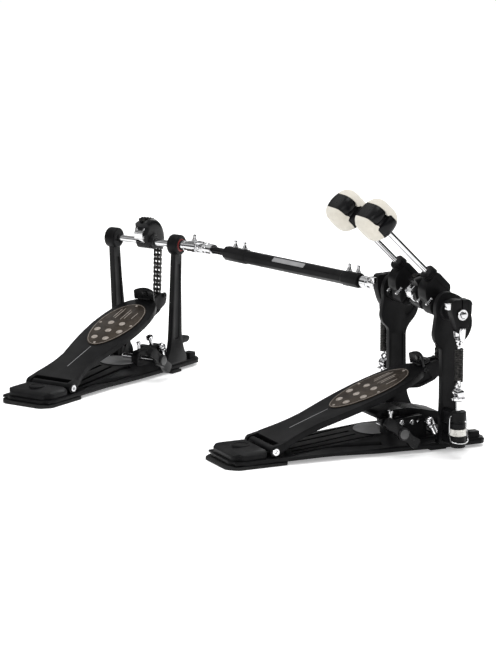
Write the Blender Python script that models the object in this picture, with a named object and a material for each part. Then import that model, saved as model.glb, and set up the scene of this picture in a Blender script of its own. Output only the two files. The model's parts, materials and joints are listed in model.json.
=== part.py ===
"""Double bass drum pedal: a main unit with two beaters, a drive shaft and a side unit for the other foot.

Metres, +Z up, +X to the player's right, +Y towards the drum. The origin is on the floor, on the main
unit's centre line, straight under its axle.
"""
import bpy
import bmesh
from math import asin, atan2, cos, pi, radians, sin, tan
from mathutils import Matrix, Vector

for leftover in list(bpy.data.objects):
    bpy.data.objects.remove(leftover, do_unlink=True)

GAP = 0.0003                    # clearance between pieces that touch

# Axle, hinge and footboard, the same in both units
AXLE_HEIGHT = 0.190
AXLE_RADIUS = 0.00475
HINGE_BACK = 0.229              # hinge pin behind the axle
HINGE_HEIGHT = 0.018
HINGE_PIN_RADIUS = 0.003
HINGE_HALF_WIDTH = 0.041        # over the pin's heads
BOARD_ANGLE = radians(19.0)     # at rest
BOARD_TOP = 0.0058              # footboard's top above the hinge line
BOARD_THICKNESS = 0.009
BOARD_LENGTH = HINGE_BACK + 0.011  # hinge to the end of the foot surface
BOARD_WAIST = 0.030
BOARD_BROAD = 0.041
PLATE_START = BOARD_LENGTH - 0.134  # oval tread plate, from the hinge
PLATE_END = BOARD_LENGTH - 0.014
PLATE_HALF_WIDTH = 0.0335
PLATE_THICKNESS = 0.0012

# Baseplate
BASE_UNDERSIDE = 0.0043
BASE_REAR = HINGE_BACK + 0.061
BASE_FRONT = 0.068
BASE_REAR_HALF_WIDTH = 0.0415
MAIN_POST_X = 0.071
MAIN_FRONT_HALF_WIDTH = MAIN_POST_X - 0.006
SIDE_FRONT_HALF_WIDTH = 0.052
SPUR_TOP = 0.021                # blocks beside the deck's front edge
BASE_WEDGE_TOP = 0.028
BASE_DECK_TOP = 0.012
PAD_THICKNESS = 0.004

# Chain: duplex roller chain over a round cam
PITCH = 0.00635
CHAIN_RADIUS = 0.0325           # pins' circle on the cam
CHAIN_HALF_WIDTH = 0.0064
CHAIN_HALF_DEPTH = 0.0027
LINKS_PER_PIECE = 2             # links in each piece that unrolls
LINKS_STILL_WRAPPED = 5
RUN_BOTTOM_Y = 0.0290
RUN_BOTTOM_Z = 0.10745
CAM_LEFT = -0.0095
CAM_FLANK = 0.0070              # inner side of the domed flank beside the chain
CAM_RIGHT = 0.0140
NECK_HALF_WIDTH = 0.0125        # footboard's neck under the chain
CHAIN_SLOT_HALF_WIDTH = 0.0070

# Main unit's head
POST_HALF_THICKNESS = 0.004
BEATER_X = 0.0405
BEATER_LEAN = radians(45.6)     # from upright, backwards, at rest
BEATER_REACH = 0.144            # axle to the head's middle, along the shaft
BEATER_OFFSET = 0.0236          # shaft's axis in front of the axle
BEATER_SHAFT_RADIUS = 0.00397
HEAD_RADIUS = 0.025
HEAD_HALF_LENGTH = 0.022
CORE_HALF_THICKNESS = 0.0125
RIGHT_ROCKER_X = MAIN_POST_X + 0.0345
LEFT_ROCKER_X = -MAIN_POST_X - 0.0245
ROCKER_HALF_WIDTH = 0.0065
ROCKER_PIN_DROP = 0.0205        # spring pin below the axle
LINK_PIN_RADIUS = 0.0020
AXLE_END_X = RIGHT_ROCKER_X + 0.0150
AXLE_JOINT_X = -0.015           # where the two half axles meet

# Springs
SPRING_Y = 0.0
SPRING_RADIUS = 0.0046          # to the wire's middle
SPRING_WIRE = 0.0011
SPRING_TURNS = 13
SPRING_TOP = AXLE_HEIGHT - 0.0445
SPRING_BOTTOM = AXLE_HEIGHT - 0.0890
TONGUE_DEPTH = 0.008            # link's shank inside the spring
SPRING_ROD_RADIUS = 0.0028
HOUSING_TOP = 0.0625
HOUSING_BOTTOM = 0.0150
HOUSING_RADIUS = 0.0105
NUT_RADIUS = 0.0092
NUT_HEIGHT = 0.010
NUT_BOTTOM = 0.030

# Hoop clamp
JAW_PIVOT_Y = -0.018
JAW_PIVOT_Z = 0.036
JAW_HALF_WIDTH = 0.020
WING_Y = -0.062
WING_Z = 0.0315
WING_SHAFT_RADIUS = 0.004
WING_SPAN = 0.029

# Side unit and drive shaft
SIDE_X = -0.563
SIDE_Y = -0.144
SIDE_YAW = radians(30.4)
SIDE_POST_X = 0.056
SIDE_BOSS_RADIUS = 0.0148
SIDE_BOSS_HALF_LENGTH = 0.0085
SIDE_POST_LEAN = 0.0085         # how far the post's foot stands inside its boss
MAIN_JOINT_X = LEFT_ROCKER_X - 0.0235  # middle of the main unit's universal joint
SIDE_JOINT_X = 0.101            # middle of the side unit's universal joint
JOINT_RADIUS = 0.0078
TUBE_RADIUS = 0.0093
TUBE_END_INSET = 0.040          # joint's middle to the tube's end
ROD_RADIUS = 0.0066

TOP = Matrix.Identity(4)        # outline (x, y), pushed along z
SIDE = Matrix(((0, 0, 1, 0), (1, 0, 0, 0), (0, 1, 0, 0), (0, 0, 0, 1)))    # outline (y, z), pushed along x


# ---------------------------------------------------------------- shapes
def object_from(mesh_maker):
    """Turns a bmesh into an object with outward faces."""
    bmesh.ops.recalc_face_normals(mesh_maker, faces=mesh_maker.faces)
    mesh = bpy.data.meshes.new("shape")
    mesh_maker.to_mesh(mesh)
    mesh_maker.free()
    shape = bpy.data.objects.new("shape", mesh)
    bpy.context.scene.collection.objects.link(shape)
    return shape


def prism(outline, low, high, frame=TOP):
    """A plate with the given outline, from low to high across it."""
    maker = bmesh.new()
    base = [maker.verts.new(frame @ Vector((u, v, low))) for u, v in outline]
    face = maker.faces.new(base)
    pushed = bmesh.ops.extrude_face_region(maker, geom=[face])["geom"]
    shift = frame.to_3x3() @ Vector((0, 0, high - low))
    moved = [item for item in pushed if isinstance(item, bmesh.types.BMVert)]
    bmesh.ops.translate(maker, verts=moved, vec=shift)
    return object_from(maker)


def box(low, high):
    """A block between two corners."""
    outline = [(low[0], low[1]), (high[0], low[1]), (high[0], high[1]), (low[0], high[1])]
    return prism(outline, low[2], high[2])


def arc(centre, radius, start, end, steps):
    """Points on an arc, angles in degrees."""
    turn = [radians(start + (end - start) * step / steps) for step in range(steps + 1)]
    return [(centre[0] + radius * cos(angle), centre[1] + radius * sin(angle)) for angle in turn]


def ring(centre, radius, steps=16):
    """Points round a circle."""
    return arc(centre, radius, 0, 360 - 360 / steps, steps - 1)


def turned(profile, start, direction, steps=16):
    """A turned solid: profile (distance along, radius) spun about a line."""
    along = Vector(direction).normalized()
    frame = Matrix.Translation(start) @ along.to_track_quat("Z", "X").to_matrix().to_4x4()
    maker = bmesh.new()
    rows = []
    for distance, radius in profile:
        circle = ring((0, 0), radius, steps)
        rows.append([maker.verts.new(frame @ Vector((u, v, distance))) for u, v in circle])
    for lower, upper in zip(rows, rows[1:]):
        for index in range(steps):
            after = (index + 1) % steps
            maker.faces.new((lower[index], lower[after], upper[after], upper[index]))
    maker.faces.new(rows[0])
    maker.faces.new(rows[-1])
    return object_from(maker)


def rod(start, end, radius, steps=16):
    """A round bar between two points."""
    reach = Vector(end) - Vector(start)
    return turned([(0, radius), (reach.length, radius)], start, reach, steps)


def combined(base, tools, operation):
    """Joins the tools to the base, or cuts them from it, and clears them away."""
    for tool in tools:
        step = base.modifiers.new("step", "BOOLEAN")
        step.operation = operation
        step.object = tool
        step.solver = "EXACT"
    graph = bpy.context.evaluated_depsgraph_get()
    result = bpy.data.meshes.new_from_object(base.evaluated_get(graph))
    base.modifiers.clear()
    base.data = result
    for tool in tools:
        bpy.data.objects.remove(tool, do_unlink=True)
    return base


def joined(*shapes):
    """One solid from shapes that overlap."""
    return combined(shapes[0], shapes[1:], "UNION")


def cut(base, *tools):
    """The base with the tools taken out of it."""
    return combined(base, tools, "DIFFERENCE")


def common(base, tool):
    """What two solids share."""
    return combined(base, [tool], "INTERSECT")


def turn_about_x(angle):
    return Matrix.Rotation(angle, 4, "X")


# ---------------------------------------------------------------- materials and naming
FINISHES = {
    "black_powder_coat": ((0.012, 0.012, 0.013), 0.42, 0.0),
    "chrome": ((0.75, 0.75, 0.76), 0.12, 1.0),
    "black_rubber": ((0.010, 0.010, 0.010), 0.75, 0.0),
    "bronze_tread": ((0.085, 0.055, 0.035), 0.40, 0.6),
    "black_plastic": ((0.014, 0.014, 0.015), 0.30, 0.0),
    "white_felt": ((0.80, 0.77, 0.70), 0.85, 0.0),
    "black_chain_steel": ((0.020, 0.020, 0.022), 0.35, 0.8),
    "knurled_nickel": ((0.62, 0.61, 0.58), 0.30, 1.0),
}


def finish(name):
    """The named finish as a material, made the first time it is asked for."""
    material = bpy.data.materials.get(name)
    if material is None:
        colour, roughness, metallic = FINISHES[name]
        material = bpy.data.materials.new(name)
        material.use_nodes = True
        shader = material.node_tree.nodes["Principled BSDF"]
        shader.inputs["Base Color"].default_value = (*colour, 1.0)
        shader.inputs["Roughness"].default_value = roughness
        shader.inputs["Metallic"].default_value = metallic
    return material


def keep(name, shape, finish_name, parent):
    """Names a finished solid, gives it its finish and hangs it on its joint's empty."""
    shape.name = name
    shape.data.name = name
    shape.data.materials.clear()
    shape.data.materials.append(finish(finish_name))
    shape.data.shade_smooth()
    shape.data.set_sharp_from_angle(angle=radians(35))
    shape.parent = parent
    return shape


def line(name, parent, matrix):
    """An empty on a joint's axis, in its parent's frame."""
    empty = bpy.data.objects.new(name, None)
    bpy.context.scene.collection.objects.link(empty)
    empty.empty_display_size = 0.02
    empty.parent = parent
    empty.matrix_local = matrix
    return empty


# ---------------------------------------------------------------- pieces of both units
def baseplate(front_half_width):
    """Cast wedge that rises from the heel to a flat deck in front, with ears for the hoop clamp."""
    side = [(-BASE_REAR, BASE_UNDERSIDE), (BASE_FRONT, BASE_UNDERSIDE), (BASE_FRONT, BASE_DECK_TOP),
            (-0.028, BASE_DECK_TOP), (-0.040, BASE_WEDGE_TOP), (-0.075, BASE_WEDGE_TOP),
            (-0.215, 0.0100), (-BASE_REAR, 0.0100)]
    spread = front_half_width - BASE_REAR_HALF_WIDTH
    right = [(BASE_REAR_HALF_WIDTH - 0.010, -BASE_REAR), (BASE_REAR_HALF_WIDTH, -BASE_REAR + 0.012),
             (BASE_REAR_HALF_WIDTH, -0.150), (BASE_REAR_HALF_WIDTH + 0.60 * spread, -0.090),
             (BASE_REAR_HALF_WIDTH + 0.70 * spread, -0.055), (front_half_width, 0.006),
             (front_half_width, BASE_FRONT - 0.006), (front_half_width - 0.006, BASE_FRONT)]
    plan = right + [(-x, y) for x, y in reversed(right)]
    plate = common(prism(side, -0.080, 0.080, SIDE), prism(plan, 0.0, 0.060))
    grooves = [box((x - 0.003, -0.195, 0.011), (x + 0.003, -0.085, 0.060))
               for x in (-0.030, -0.015, 0.015, 0.030)]
    plate = cut(plate, *grooves)
    bracket = box((JAW_HALF_WIDTH + 0.005, WING_Y - 0.010, 0.020),
                  (JAW_HALF_WIDTH + 0.016, JAW_PIVOT_Y + 0.012, WING_Z + 0.009))
    other_ear = box((-JAW_HALF_WIDTH - 0.010, JAW_PIVOT_Y - 0.012, 0.008),
                    (-JAW_HALF_WIDTH - 0.005, JAW_PIVOT_Y + 0.012, JAW_PIVOT_Z + 0.009))
    spurs = [box((x - 0.006, 0.044, 0.008), (x + 0.006, 0.058, SPUR_TOP))
             for x in (-front_half_width + 0.010, front_half_width - 0.010)]
    plate = joined(plate, bracket, other_ear, *spurs)
    wing_hole = rod((0, WING_Y, WING_Z), (0.1, WING_Y, WING_Z), WING_SHAFT_RADIUS + GAP)
    pivot_hole = rod((-0.1, JAW_PIVOT_Y, JAW_PIVOT_Z), (0.1, JAW_PIVOT_Y, JAW_PIVOT_Z),
                     HINGE_PIN_RADIUS + GAP)
    return cut(plate, wing_hole, pivot_hole)


def heel_pad():
    """Rubber sheet under the heel, a little larger than the casting."""
    right = [(x, y - BASE_REAR) for x, y in ((0.0330, -0.006), (0.0430, 0.006), (0.0430, 0.074), (0.0400, 0.078))]
    return prism(right + [(-x, y) for x, y in reversed(right)], 0.0, PAD_THICKNESS)


def front_foot():
    """Rubber bar under the deck, straight below the axle."""
    return box((-0.056, -0.012, 0.0), (0.056, 0.012, PAD_THICKNESS))


def heel_plate():
    """Domed heel rest with the middle knuckle of the footboard's hinge."""
    floor = 0.0100 + GAP
    right = [(0.0300, -HINGE_BACK - 0.057), (0.0385, -HINGE_BACK - 0.044), (0.0385, -HINGE_BACK - 0.0110)]
    plan = right + [(-x, y) for x, y in reversed(right)]
    cap = prism(plan, floor, 0.0230)
    crown = [(y - HINGE_BACK, z) for y, z in (
        (-0.058, floor), (-0.058, 0.0145), (-0.049, 0.0185), (-0.033, 0.0212), (-0.016, 0.0215),
        (-0.010, 0.0190), (-0.010, floor))]
    cap = common(cap, prism(crown, -0.05, 0.05, SIDE))
    knuckle_end = 0.0305
    web = box((-knuckle_end, -HINGE_BACK - 0.013, floor), (knuckle_end, -HINGE_BACK, HINGE_HEIGHT))
    knuckle = rod((-knuckle_end, -HINGE_BACK, HINGE_HEIGHT), (knuckle_end, -HINGE_BACK, HINGE_HEIGHT), 0.0060)
    bore = rod((-0.05, -HINGE_BACK, HINGE_HEIGHT), (0.05, -HINGE_BACK, HINGE_HEIGHT), HINGE_PIN_RADIUS + GAP)
    return cut(joined(cap, web, knuckle), bore)


def hinge_pin():
    """Steel pin through the hinge, with a round head at each end."""
    head = 0.0022
    half = HINGE_HALF_WIDTH
    profile = [(-half, 0.0049), (-half + head, 0.0049), (-half + head, HINGE_PIN_RADIUS),
               (half - head, HINGE_PIN_RADIUS), (half - head, 0.0049), (half, 0.0049)]
    return turned(profile, (0, -HINGE_BACK, HINGE_HEIGHT), (1, 0, 0))


def board_outline():
    """Half outline of the footboard, (x, distance from the hinge), from heel to toe."""
    swell = [(BOARD_BROAD - (BOARD_BROAD - BOARD_WAIST) * (1 - sin(pi * share / 2)), 0.075 + 0.090 * share)
             for share in (0.25, 0.5, 0.75, 1.0)]
    taper = [(BOARD_BROAD - 0.026 * (1 - cos(radians(angle))), 0.165 + 0.075 * sin(radians(angle)))
             for angle in (20, 38, 54, 68, 78)]
    return [(0.0385, 0.010), (0.0365, 0.022), (BOARD_WAIST, 0.050), (BOARD_WAIST, 0.072)] + swell + taper + [
        (NECK_HALF_WIDTH, BOARD_LENGTH + 0.004), (NECK_HALF_WIDTH, BOARD_LENGTH + 0.018)]


def footboard():
    """Foot surface in the hinge's own frame: y runs up the board and z stands off it."""
    right = board_outline()
    bottom = BOARD_TOP - BOARD_THICKNESS
    board = prism(right + [(-x, y) for x, y in reversed(right)], bottom, BOARD_TOP)
    shapes = []
    for side in (-1, 1):
        inner, outer = sorted((side * 0.0310, side * 0.0385))
        lug = arc((0, 0), 0.0072, 90, 270, 8) + [(0.016, bottom), (0.016, BOARD_TOP)]
        shapes.append(prism(lug, inner, outer, SIDE))
    neck = [(0.1950, bottom + 0.001), (0.2300, -0.0190), (0.2570, -0.0180), (0.2710, -0.0150),
            (0.2780, -0.0060),
            (0.2770, -0.0010), (0.2700, 0.0035), (0.2580, BOARD_TOP - 0.0004), (0.1950, BOARD_TOP - 0.0004)]
    shapes.append(prism(neck, -NECK_HALF_WIDTH, NECK_HALF_WIDTH, SIDE))
    board = joined(board, *shapes)
    bore = rod((-0.05, 0, 0), (0.05, 0, 0), HINGE_PIN_RADIUS + GAP)
    slot = box((-CHAIN_SLOT_HALF_WIDTH, 0.2620, -0.05), (CHAIN_SLOT_HALF_WIDTH, 0.300, 0.05))
    return cut(board, bore, slot)


def tread_plate():
    """Oval insert lying on the footboard."""
    middle = (PLATE_START + PLATE_END) / 2
    half = (PLATE_END - PLATE_START) / 2
    outline = []
    for step in range(32):
        angle = 2 * pi * step / 32
        width = PLATE_HALF_WIDTH * (1 + 0.10 * sin(angle))
        outline.append((width * cos(angle) * 0.97, middle + half * sin(angle)))
    return prism(outline, BOARD_TOP + GAP, BOARD_TOP + GAP + PLATE_THICKNESS)


def toe_stop():
    """Curved stop across the board's end with the foot that bolts it down."""
    start = BOARD_LENGTH - 0.002
    low = BOARD_TOP + GAP
    outside = arc((0, start - 0.030), 0.040, 114.4, 65.6, 8)
    inside = arc((0, start - 0.034), 0.036, 62.7, 117.3, 8)
    wall = prism(outside + inside, low, low + 0.014)
    foot = box((-0.0110, start + 0.002, low), (0.0110, start + 0.020, low + 0.0035))
    return joined(wall, foot)


def ribbon(path, half_width):
    """A strip of chain along a path of pins, waisted between them, with round ends that stop short."""
    def side_point(index, sign, depth):
        """A point beside the path at a pin or, at half an index, between two."""
        before, after = path[int(index - 0.5)], path[min(int(index + 1), len(path) - 1)]
        middle = (Vector(path[int(index)]) + Vector(path[min(int(index + 0.5), len(path) - 1)])) / 2
        along = (Vector(after) - Vector(before)).normalized()
        across = Vector((-along[1], along[0])) * sign * depth
        return tuple(middle + across)
    outline = []
    last = len(path) - 1
    for sign in (1, -1):
        stations = [index / 2 for index in range(1, 2 * last)]
        points = [side_point(i, sign,
                             CHAIN_HALF_DEPTH if i == int(i) else CHAIN_HALF_DEPTH * 0.75) for i in stations]
        outline += points if sign > 0 else points[::-1]
        end, toward = (path[-1], path[-2]) if sign > 0 else (path[0], path[1])
        inward = (Vector(toward) - Vector(end)).normalized()
        centre = Vector(end) + inward * (CHAIN_HALF_DEPTH + GAP)
        heading = atan2(-inward[1], -inward[0])
        outline += [(centre[0] + CHAIN_HALF_DEPTH * cos(heading + turn),
                     centre[1] + CHAIN_HALF_DEPTH * sin(heading + turn))
                    for turn in (pi / 2, pi / 4, 0, -pi / 4, -pi / 2)]
    return prism(outline, -half_width, half_width, SIDE)


def chain_pin(number):
    """The place (y, z) of a chain pin on the cam, number 0 at the point where the chain leaves it."""
    angle = 2 * asin(PITCH / 2 / CHAIN_RADIUS) * number
    return (CHAIN_RADIUS * cos(angle), CHAIN_RADIUS * sin(angle))


def cam():
    """Cam under the chain: a round back and top, cut straight on the player's side, with a domed flank."""
    rim = CHAIN_RADIUS - CHAIN_HALF_DEPTH - GAP
    flank = CHAIN_RADIUS + 0.0010
    disc = turned([(CAM_LEFT, rim - 0.002), (CAM_LEFT + 0.001, rim), (CAM_FLANK - GAP, rim),
                   (CAM_FLANK, flank),
                   (CAM_FLANK + 0.003, flank - 0.001), (CAM_RIGHT - 0.0015, rim), (CAM_RIGHT, rim - 0.006)],
                  (0, 0, 0), (1, 0, 0), 32)
    sector = prism(arc((0, 0), 0.045, -24, 116, 10) + [(-0.0170, 0.0080), (-0.0180, -0.0060),
                                                       (-0.0110, -0.0160),
                                                       (0.0040, -0.0190)], CAM_LEFT - 0.01, CAM_RIGHT + 0.01,
                                                       SIDE)
    hub = rod((CAM_LEFT, 0, 0), (CAM_RIGHT + 0.004, 0, 0), 0.0105)
    bore = rod((-0.05, 0, 0), (0.05, 0, 0), AXLE_RADIUS + GAP)
    return cut(joined(common(disc, sector), hub), bore)


def wing_screw():
    """Side screw with two long wings that works the clamp."""
    clear = MAIN_FRONT_HALF_WIDTH - 0.001
    shaft = rod((0.004, WING_Y, WING_Z), (clear + 0.002, WING_Y, WING_Z), WING_SHAFT_RADIUS)
    hub = rod((clear, WING_Y, WING_Z), (clear + 0.014, WING_Y, WING_Z), 0.0085)
    wings = []
    for side in (0, pi):
        aim = radians(142) + side
        along = Vector((cos(aim), sin(aim)))
        across = Vector((-along[1], along[0]))
        middle = Vector((WING_Y, WING_Z))
        stations = ((0.004, 0.0050), (0.018, 0.0065), (WING_SPAN - 0.003, 0.0060), (WING_SPAN, 0.0030))
        outline = [tuple(middle + along * reach + across * half) for reach, half in stations]
        outline += [tuple(middle + along * reach - across * half) for reach, half in reversed(stations)]
        wings.append(prism(outline, clear + 0.003, clear + 0.010, SIDE))
    return joined(shaft, hub, *wings)


# ---------------------------------------------------------------- pieces of the main unit
def rocker_x(side):
    """The middle of the right (1) or left (-1) rocker and its spring."""
    return RIGHT_ROCKER_X if side > 0 else LEFT_ROCKER_X


def main_post(side):
    """Upright plate with a leaf-shaped head, a bearing boss, a flared foot and the spring's housing."""
    half = POST_HALF_THICKNESS
    heel = -0.0220 if side < 0 else -0.0100
    front = [(0.0350, BASE_DECK_TOP + GAP), (0.0350, 0.0260), (0.0250, 0.0400), (0.0190, 0.0650)]
    front += [(y, AXLE_HEIGHT + z) for y, z in (
        (0.0170, -0.0540), (0.0250, -0.0440), (0.0360, -0.0300), (0.0370, -0.0170), (0.0330, -0.0020),
        (0.0240, 0.0120), (0.0100, 0.0210), (-0.0020, 0.0240))]
    back = [(y, AXLE_HEIGHT + z) for y, z in (
        (-0.0120, 0.0190), (-0.0170, 0.0080), (-0.0160, -0.0050), (-0.0180, -0.0200), (-0.0200, -0.0330),
        (-0.0165, -0.0430), (-0.0075, -0.0480))]
    back += [(-0.0075, 0.0700), (-0.0085, 0.0450), (heel, 0.0300), (heel, BASE_DECK_TOP + GAP)]
    outline = front + back
    middle = side * MAIN_POST_X
    plate = prism(outline, middle - half, middle + half, SIDE)
    boss = rod((middle - side * 0.009, 0, AXLE_HEIGHT), (middle + side * 0.010, 0, AXLE_HEIGHT), 0.0135, 20)
    low, high = sorted((middle - side * 0.012, middle + side * half))
    foot = box((low, heel, BASE_DECK_TOP + GAP), (high, 0.0350, 0.0180))
    spring_x = rocker_x(side)
    low, high = sorted((middle, spring_x))
    web = box((low, SPRING_Y - 0.0060, HOUSING_BOTTOM), (high, SPRING_Y + 0.0060, HOUSING_TOP - 0.002))
    housing = rod((spring_x, SPRING_Y, HOUSING_BOTTOM), (spring_x, SPRING_Y, HOUSING_TOP), HOUSING_RADIUS)
    post = joined(plate, boss, foot, web, housing)
    axle_bore = rod((middle - 0.03, 0, AXLE_HEIGHT), (middle + 0.03, 0, AXLE_HEIGHT), AXLE_RADIUS + GAP)
    rod_bore = rod((spring_x, SPRING_Y, 0), (spring_x, SPRING_Y, 0.08), SPRING_ROD_RADIUS + GAP)
    window = rod((spring_x, SPRING_Y, NUT_BOTTOM - GAP), (spring_x, SPRING_Y, NUT_BOTTOM + NUT_HEIGHT + GAP),
                 HOUSING_RADIUS + 0.002)
    return cut(post, axle_bore, rod_bore, window)


def right_axle():
    """Half axle of the main unit's own beater, with a spigot that the other half turns on."""
    profile = [(AXLE_JOINT_X - 0.0140, 0.0024), (AXLE_JOINT_X, 0.0024), (AXLE_JOINT_X, AXLE_RADIUS),
               (RIGHT_ROCKER_X + ROCKER_HALF_WIDTH + GAP, AXLE_RADIUS),
               (RIGHT_ROCKER_X + ROCKER_HALF_WIDTH + GAP, 0.0070),
               (AXLE_END_X - 0.002, 0.0070), (AXLE_END_X, 0.0055)]
    return turned(profile, (0, 0, 0), (1, 0, 0))


def yoke(middle, outward, upright):
    """Fork of a universal joint: a round hub with two ears on either side of its middle."""
    outward = Vector(outward).normalized()
    upright = Vector(upright).normalized()
    across = outward.cross(upright)
    middle = Vector(middle)
    hub = rod(middle + outward * 0.0085, middle + outward * 0.0150, JOINT_RADIUS)
    ears = []
    for side in (-1, 1):
        frame = Matrix.Identity(4)
        frame.col[0].xyz = outward
        frame.col[1].xyz = across
        frame.col[2].xyz = upright * side
        frame.col[3].xyz = middle
        outline = [(0.0100, -0.0036), (0.0100, 0.0036)] + arc((0, 0), 0.0036, 90, 270, 6)
        ears.append(prism(outline, 0.0050, 0.0074, frame))
    return joined(hub, *ears)


def joint_cross(outward, upright):
    """Four-armed spider between two forks."""
    outward = Vector(outward).normalized()
    upright = Vector(upright).normalized()
    across = outward.cross(upright)
    reach = 0.0050 - GAP * 2
    return joined(rod(upright * -reach, upright * reach, 0.0022, 10),
                  rod(across * -reach, across * reach, 0.0022, 10))


def left_axle():
    """Half axle of the other beater, bored for the spigot, ending in the drive shaft's fork."""
    shaft = rod((AXLE_JOINT_X - 0.0010, 0, 0), (MAIN_JOINT_X + 0.0120, 0, 0), AXLE_RADIUS)
    fork = yoke((MAIN_JOINT_X, 0, 0), (1, 0, 0), (0, 0, 1))
    bore = rod((AXLE_JOINT_X - 0.0150, 0, 0), (AXLE_JOINT_X, 0, 0), 0.0024 + GAP)
    return cut(joined(shaft, fork), bore)


def beater_holder(middle):
    """Clamp block between axle and beater shaft; z runs up the shaft and y stands in front of it."""
    hub = rod((middle - 0.011, 0, 0), (middle + 0.011, 0, 0), 0.0130, 20)
    block = prism([(-0.0060, 0.0040), (0.0240, 0.0010), (0.0310, 0.0070), (0.0310, 0.0330), (0.0020, 0.0330),
                   (-0.0060, 0.0200)], middle - 0.0105, middle + 0.0105, SIDE)
    collar = turned([(0.0250, 0.0095), (0.0310, 0.0105), (0.0360, 0.0105), (0.0365, 0.0090),
                     (0.0410, 0.0090)],
                    (middle, BEATER_OFFSET, 0), (0, 0, 1), 12)
    holder = joined(hub, block, collar)
    axle_bore = rod((middle - 0.03, 0, 0), (middle + 0.03, 0, 0), AXLE_RADIUS + GAP)
    shaft_bore = rod((middle, BEATER_OFFSET, -0.06), (middle, BEATER_OFFSET, 0.06), BEATER_SHAFT_RADIUS + GAP)
    return cut(holder, axle_bore, shaft_bore)


def beater_shaft(middle):
    """Round steel shaft, open at its lower end below the holder and seated in the head's core."""
    end = BEATER_REACH + 0.004
    low = -0.0125
    profile = [(low, BEATER_SHAFT_RADIUS - 0.0008), (low + 0.0008, BEATER_SHAFT_RADIUS),
               (end, BEATER_SHAFT_RADIUS)]
    return turned(profile, (middle, BEATER_OFFSET, 0), (0, 0, 1))


def beater_core(middle):
    """Plastic middle of the head: the slab of a round head between its two pads."""
    low = BEATER_REACH - HEAD_HALF_LENGTH
    high = BEATER_REACH + HEAD_HALF_LENGTH
    drum = turned([(low, 0.017), (low + 0.005, HEAD_RADIUS - 0.002), (BEATER_REACH, HEAD_RADIUS),
                   (high - 0.005, HEAD_RADIUS - 0.002), (high, 0.017)], (middle, BEATER_OFFSET, 0),
                   (0, 0, 1), 24)
    slab = box((middle - 0.04, BEATER_OFFSET - CORE_HALF_THICKNESS, low - 0.01),
               (middle + 0.04, BEATER_OFFSET + CORE_HALF_THICKNESS, high + 0.01))
    core = common(drum, slab)
    bore = rod((middle, BEATER_OFFSET, low - 0.01), (middle, BEATER_OFFSET, BEATER_REACH + 0.0045),
               BEATER_SHAFT_RADIUS + GAP)
    key = rod((middle, BEATER_OFFSET - 0.03, BEATER_REACH + 0.012),
              (middle, BEATER_OFFSET + 0.03, BEATER_REACH + 0.012),
              0.0040 + GAP)
    return cut(core, bore, key)


def beater_felt(middle):
    """Front and back pads of the head, held together by a moulded key through the core."""
    low = BEATER_REACH - HEAD_HALF_LENGTH + 0.0015
    high = BEATER_REACH + HEAD_HALF_LENGTH - 0.0015
    drum = turned([(low, 0.019), (low + 0.004, HEAD_RADIUS - 0.0005), (high - 0.004, HEAD_RADIUS - 0.0005),
                   (high, 0.019)], (middle, BEATER_OFFSET, 0), (0, 0, 1), 24)
    gap = CORE_HALF_THICKNESS + GAP
    slab = box((middle - 0.04, BEATER_OFFSET - gap, low - 0.01),
               (middle + 0.04, BEATER_OFFSET + gap, high + 0.01))
    key = rod((middle, BEATER_OFFSET - gap - 0.002, BEATER_REACH + 0.012),
              (middle, BEATER_OFFSET + gap + 0.002, BEATER_REACH + 0.012), 0.0040)
    return joined(cut(drum, slab), key)


def rocker(side):
    """Teardrop clamp on the axle's end that pulls the spring."""
    tip = arc((SPRING_Y, -ROCKER_PIN_DROP), 0.0060, 200, 340, 8)
    crown = [(0.0142, 0.0010), (0.0140, 0.0150), (0.0110, 0.0185), (-0.0110, 0.0195), (-0.0140, 0.0160),
             (-0.0150, 0.0038)]
    middle = rocker_x(side)
    body = prism(tip + crown, middle - ROCKER_HALF_WIDTH, middle + ROCKER_HALF_WIDTH, SIDE)
    bore = rod((middle - 0.03, 0, 0), (middle + 0.03, 0, 0), AXLE_RADIUS + GAP)
    pin_bore = rod((middle - 0.03, SPRING_Y, -ROCKER_PIN_DROP), (middle + 0.03, SPRING_Y, -ROCKER_PIN_DROP),
                   LINK_PIN_RADIUS + GAP, 10)
    slit = box((middle - 0.03, -0.0008, 0), (middle + 0.03, 0.0008, 0.03))
    return cut(body, bore, pin_bore, slit)


def spring_link():
    """Forked link from the rocker's pin to the spring, in its pin's own frame."""
    inner = ROCKER_HALF_WIDTH + GAP
    cheek = arc((0, 0), 0.0042, 0, 180, 6) + [(-0.0034, -0.0120), (0.0034, -0.0120)]
    cheeks = [prism(cheek, min(s * inner, s * (inner + 0.0016)), max(s * inner, s * (inner + 0.0016)), SIDE)
              for s in (-1, 1)]
    bridge = box((-inner - 0.0016, -0.0034, -0.0130), (inner + 0.0016, 0.0034, -0.0100))
    drop = AXLE_HEIGHT - ROCKER_PIN_DROP - SPRING_TOP
    tongue = rod((0, 0, -drop - TONGUE_DEPTH), (0, 0, -0.0110), SPRING_RADIUS - SPRING_WIRE - 0.0010, 8)
    pin = rod((-inner - 0.0010, 0, 0), (inner + 0.0010, 0, 0), LINK_PIN_RADIUS, 10)
    return joined(bridge, tongue, pin, *cheeks)


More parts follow.
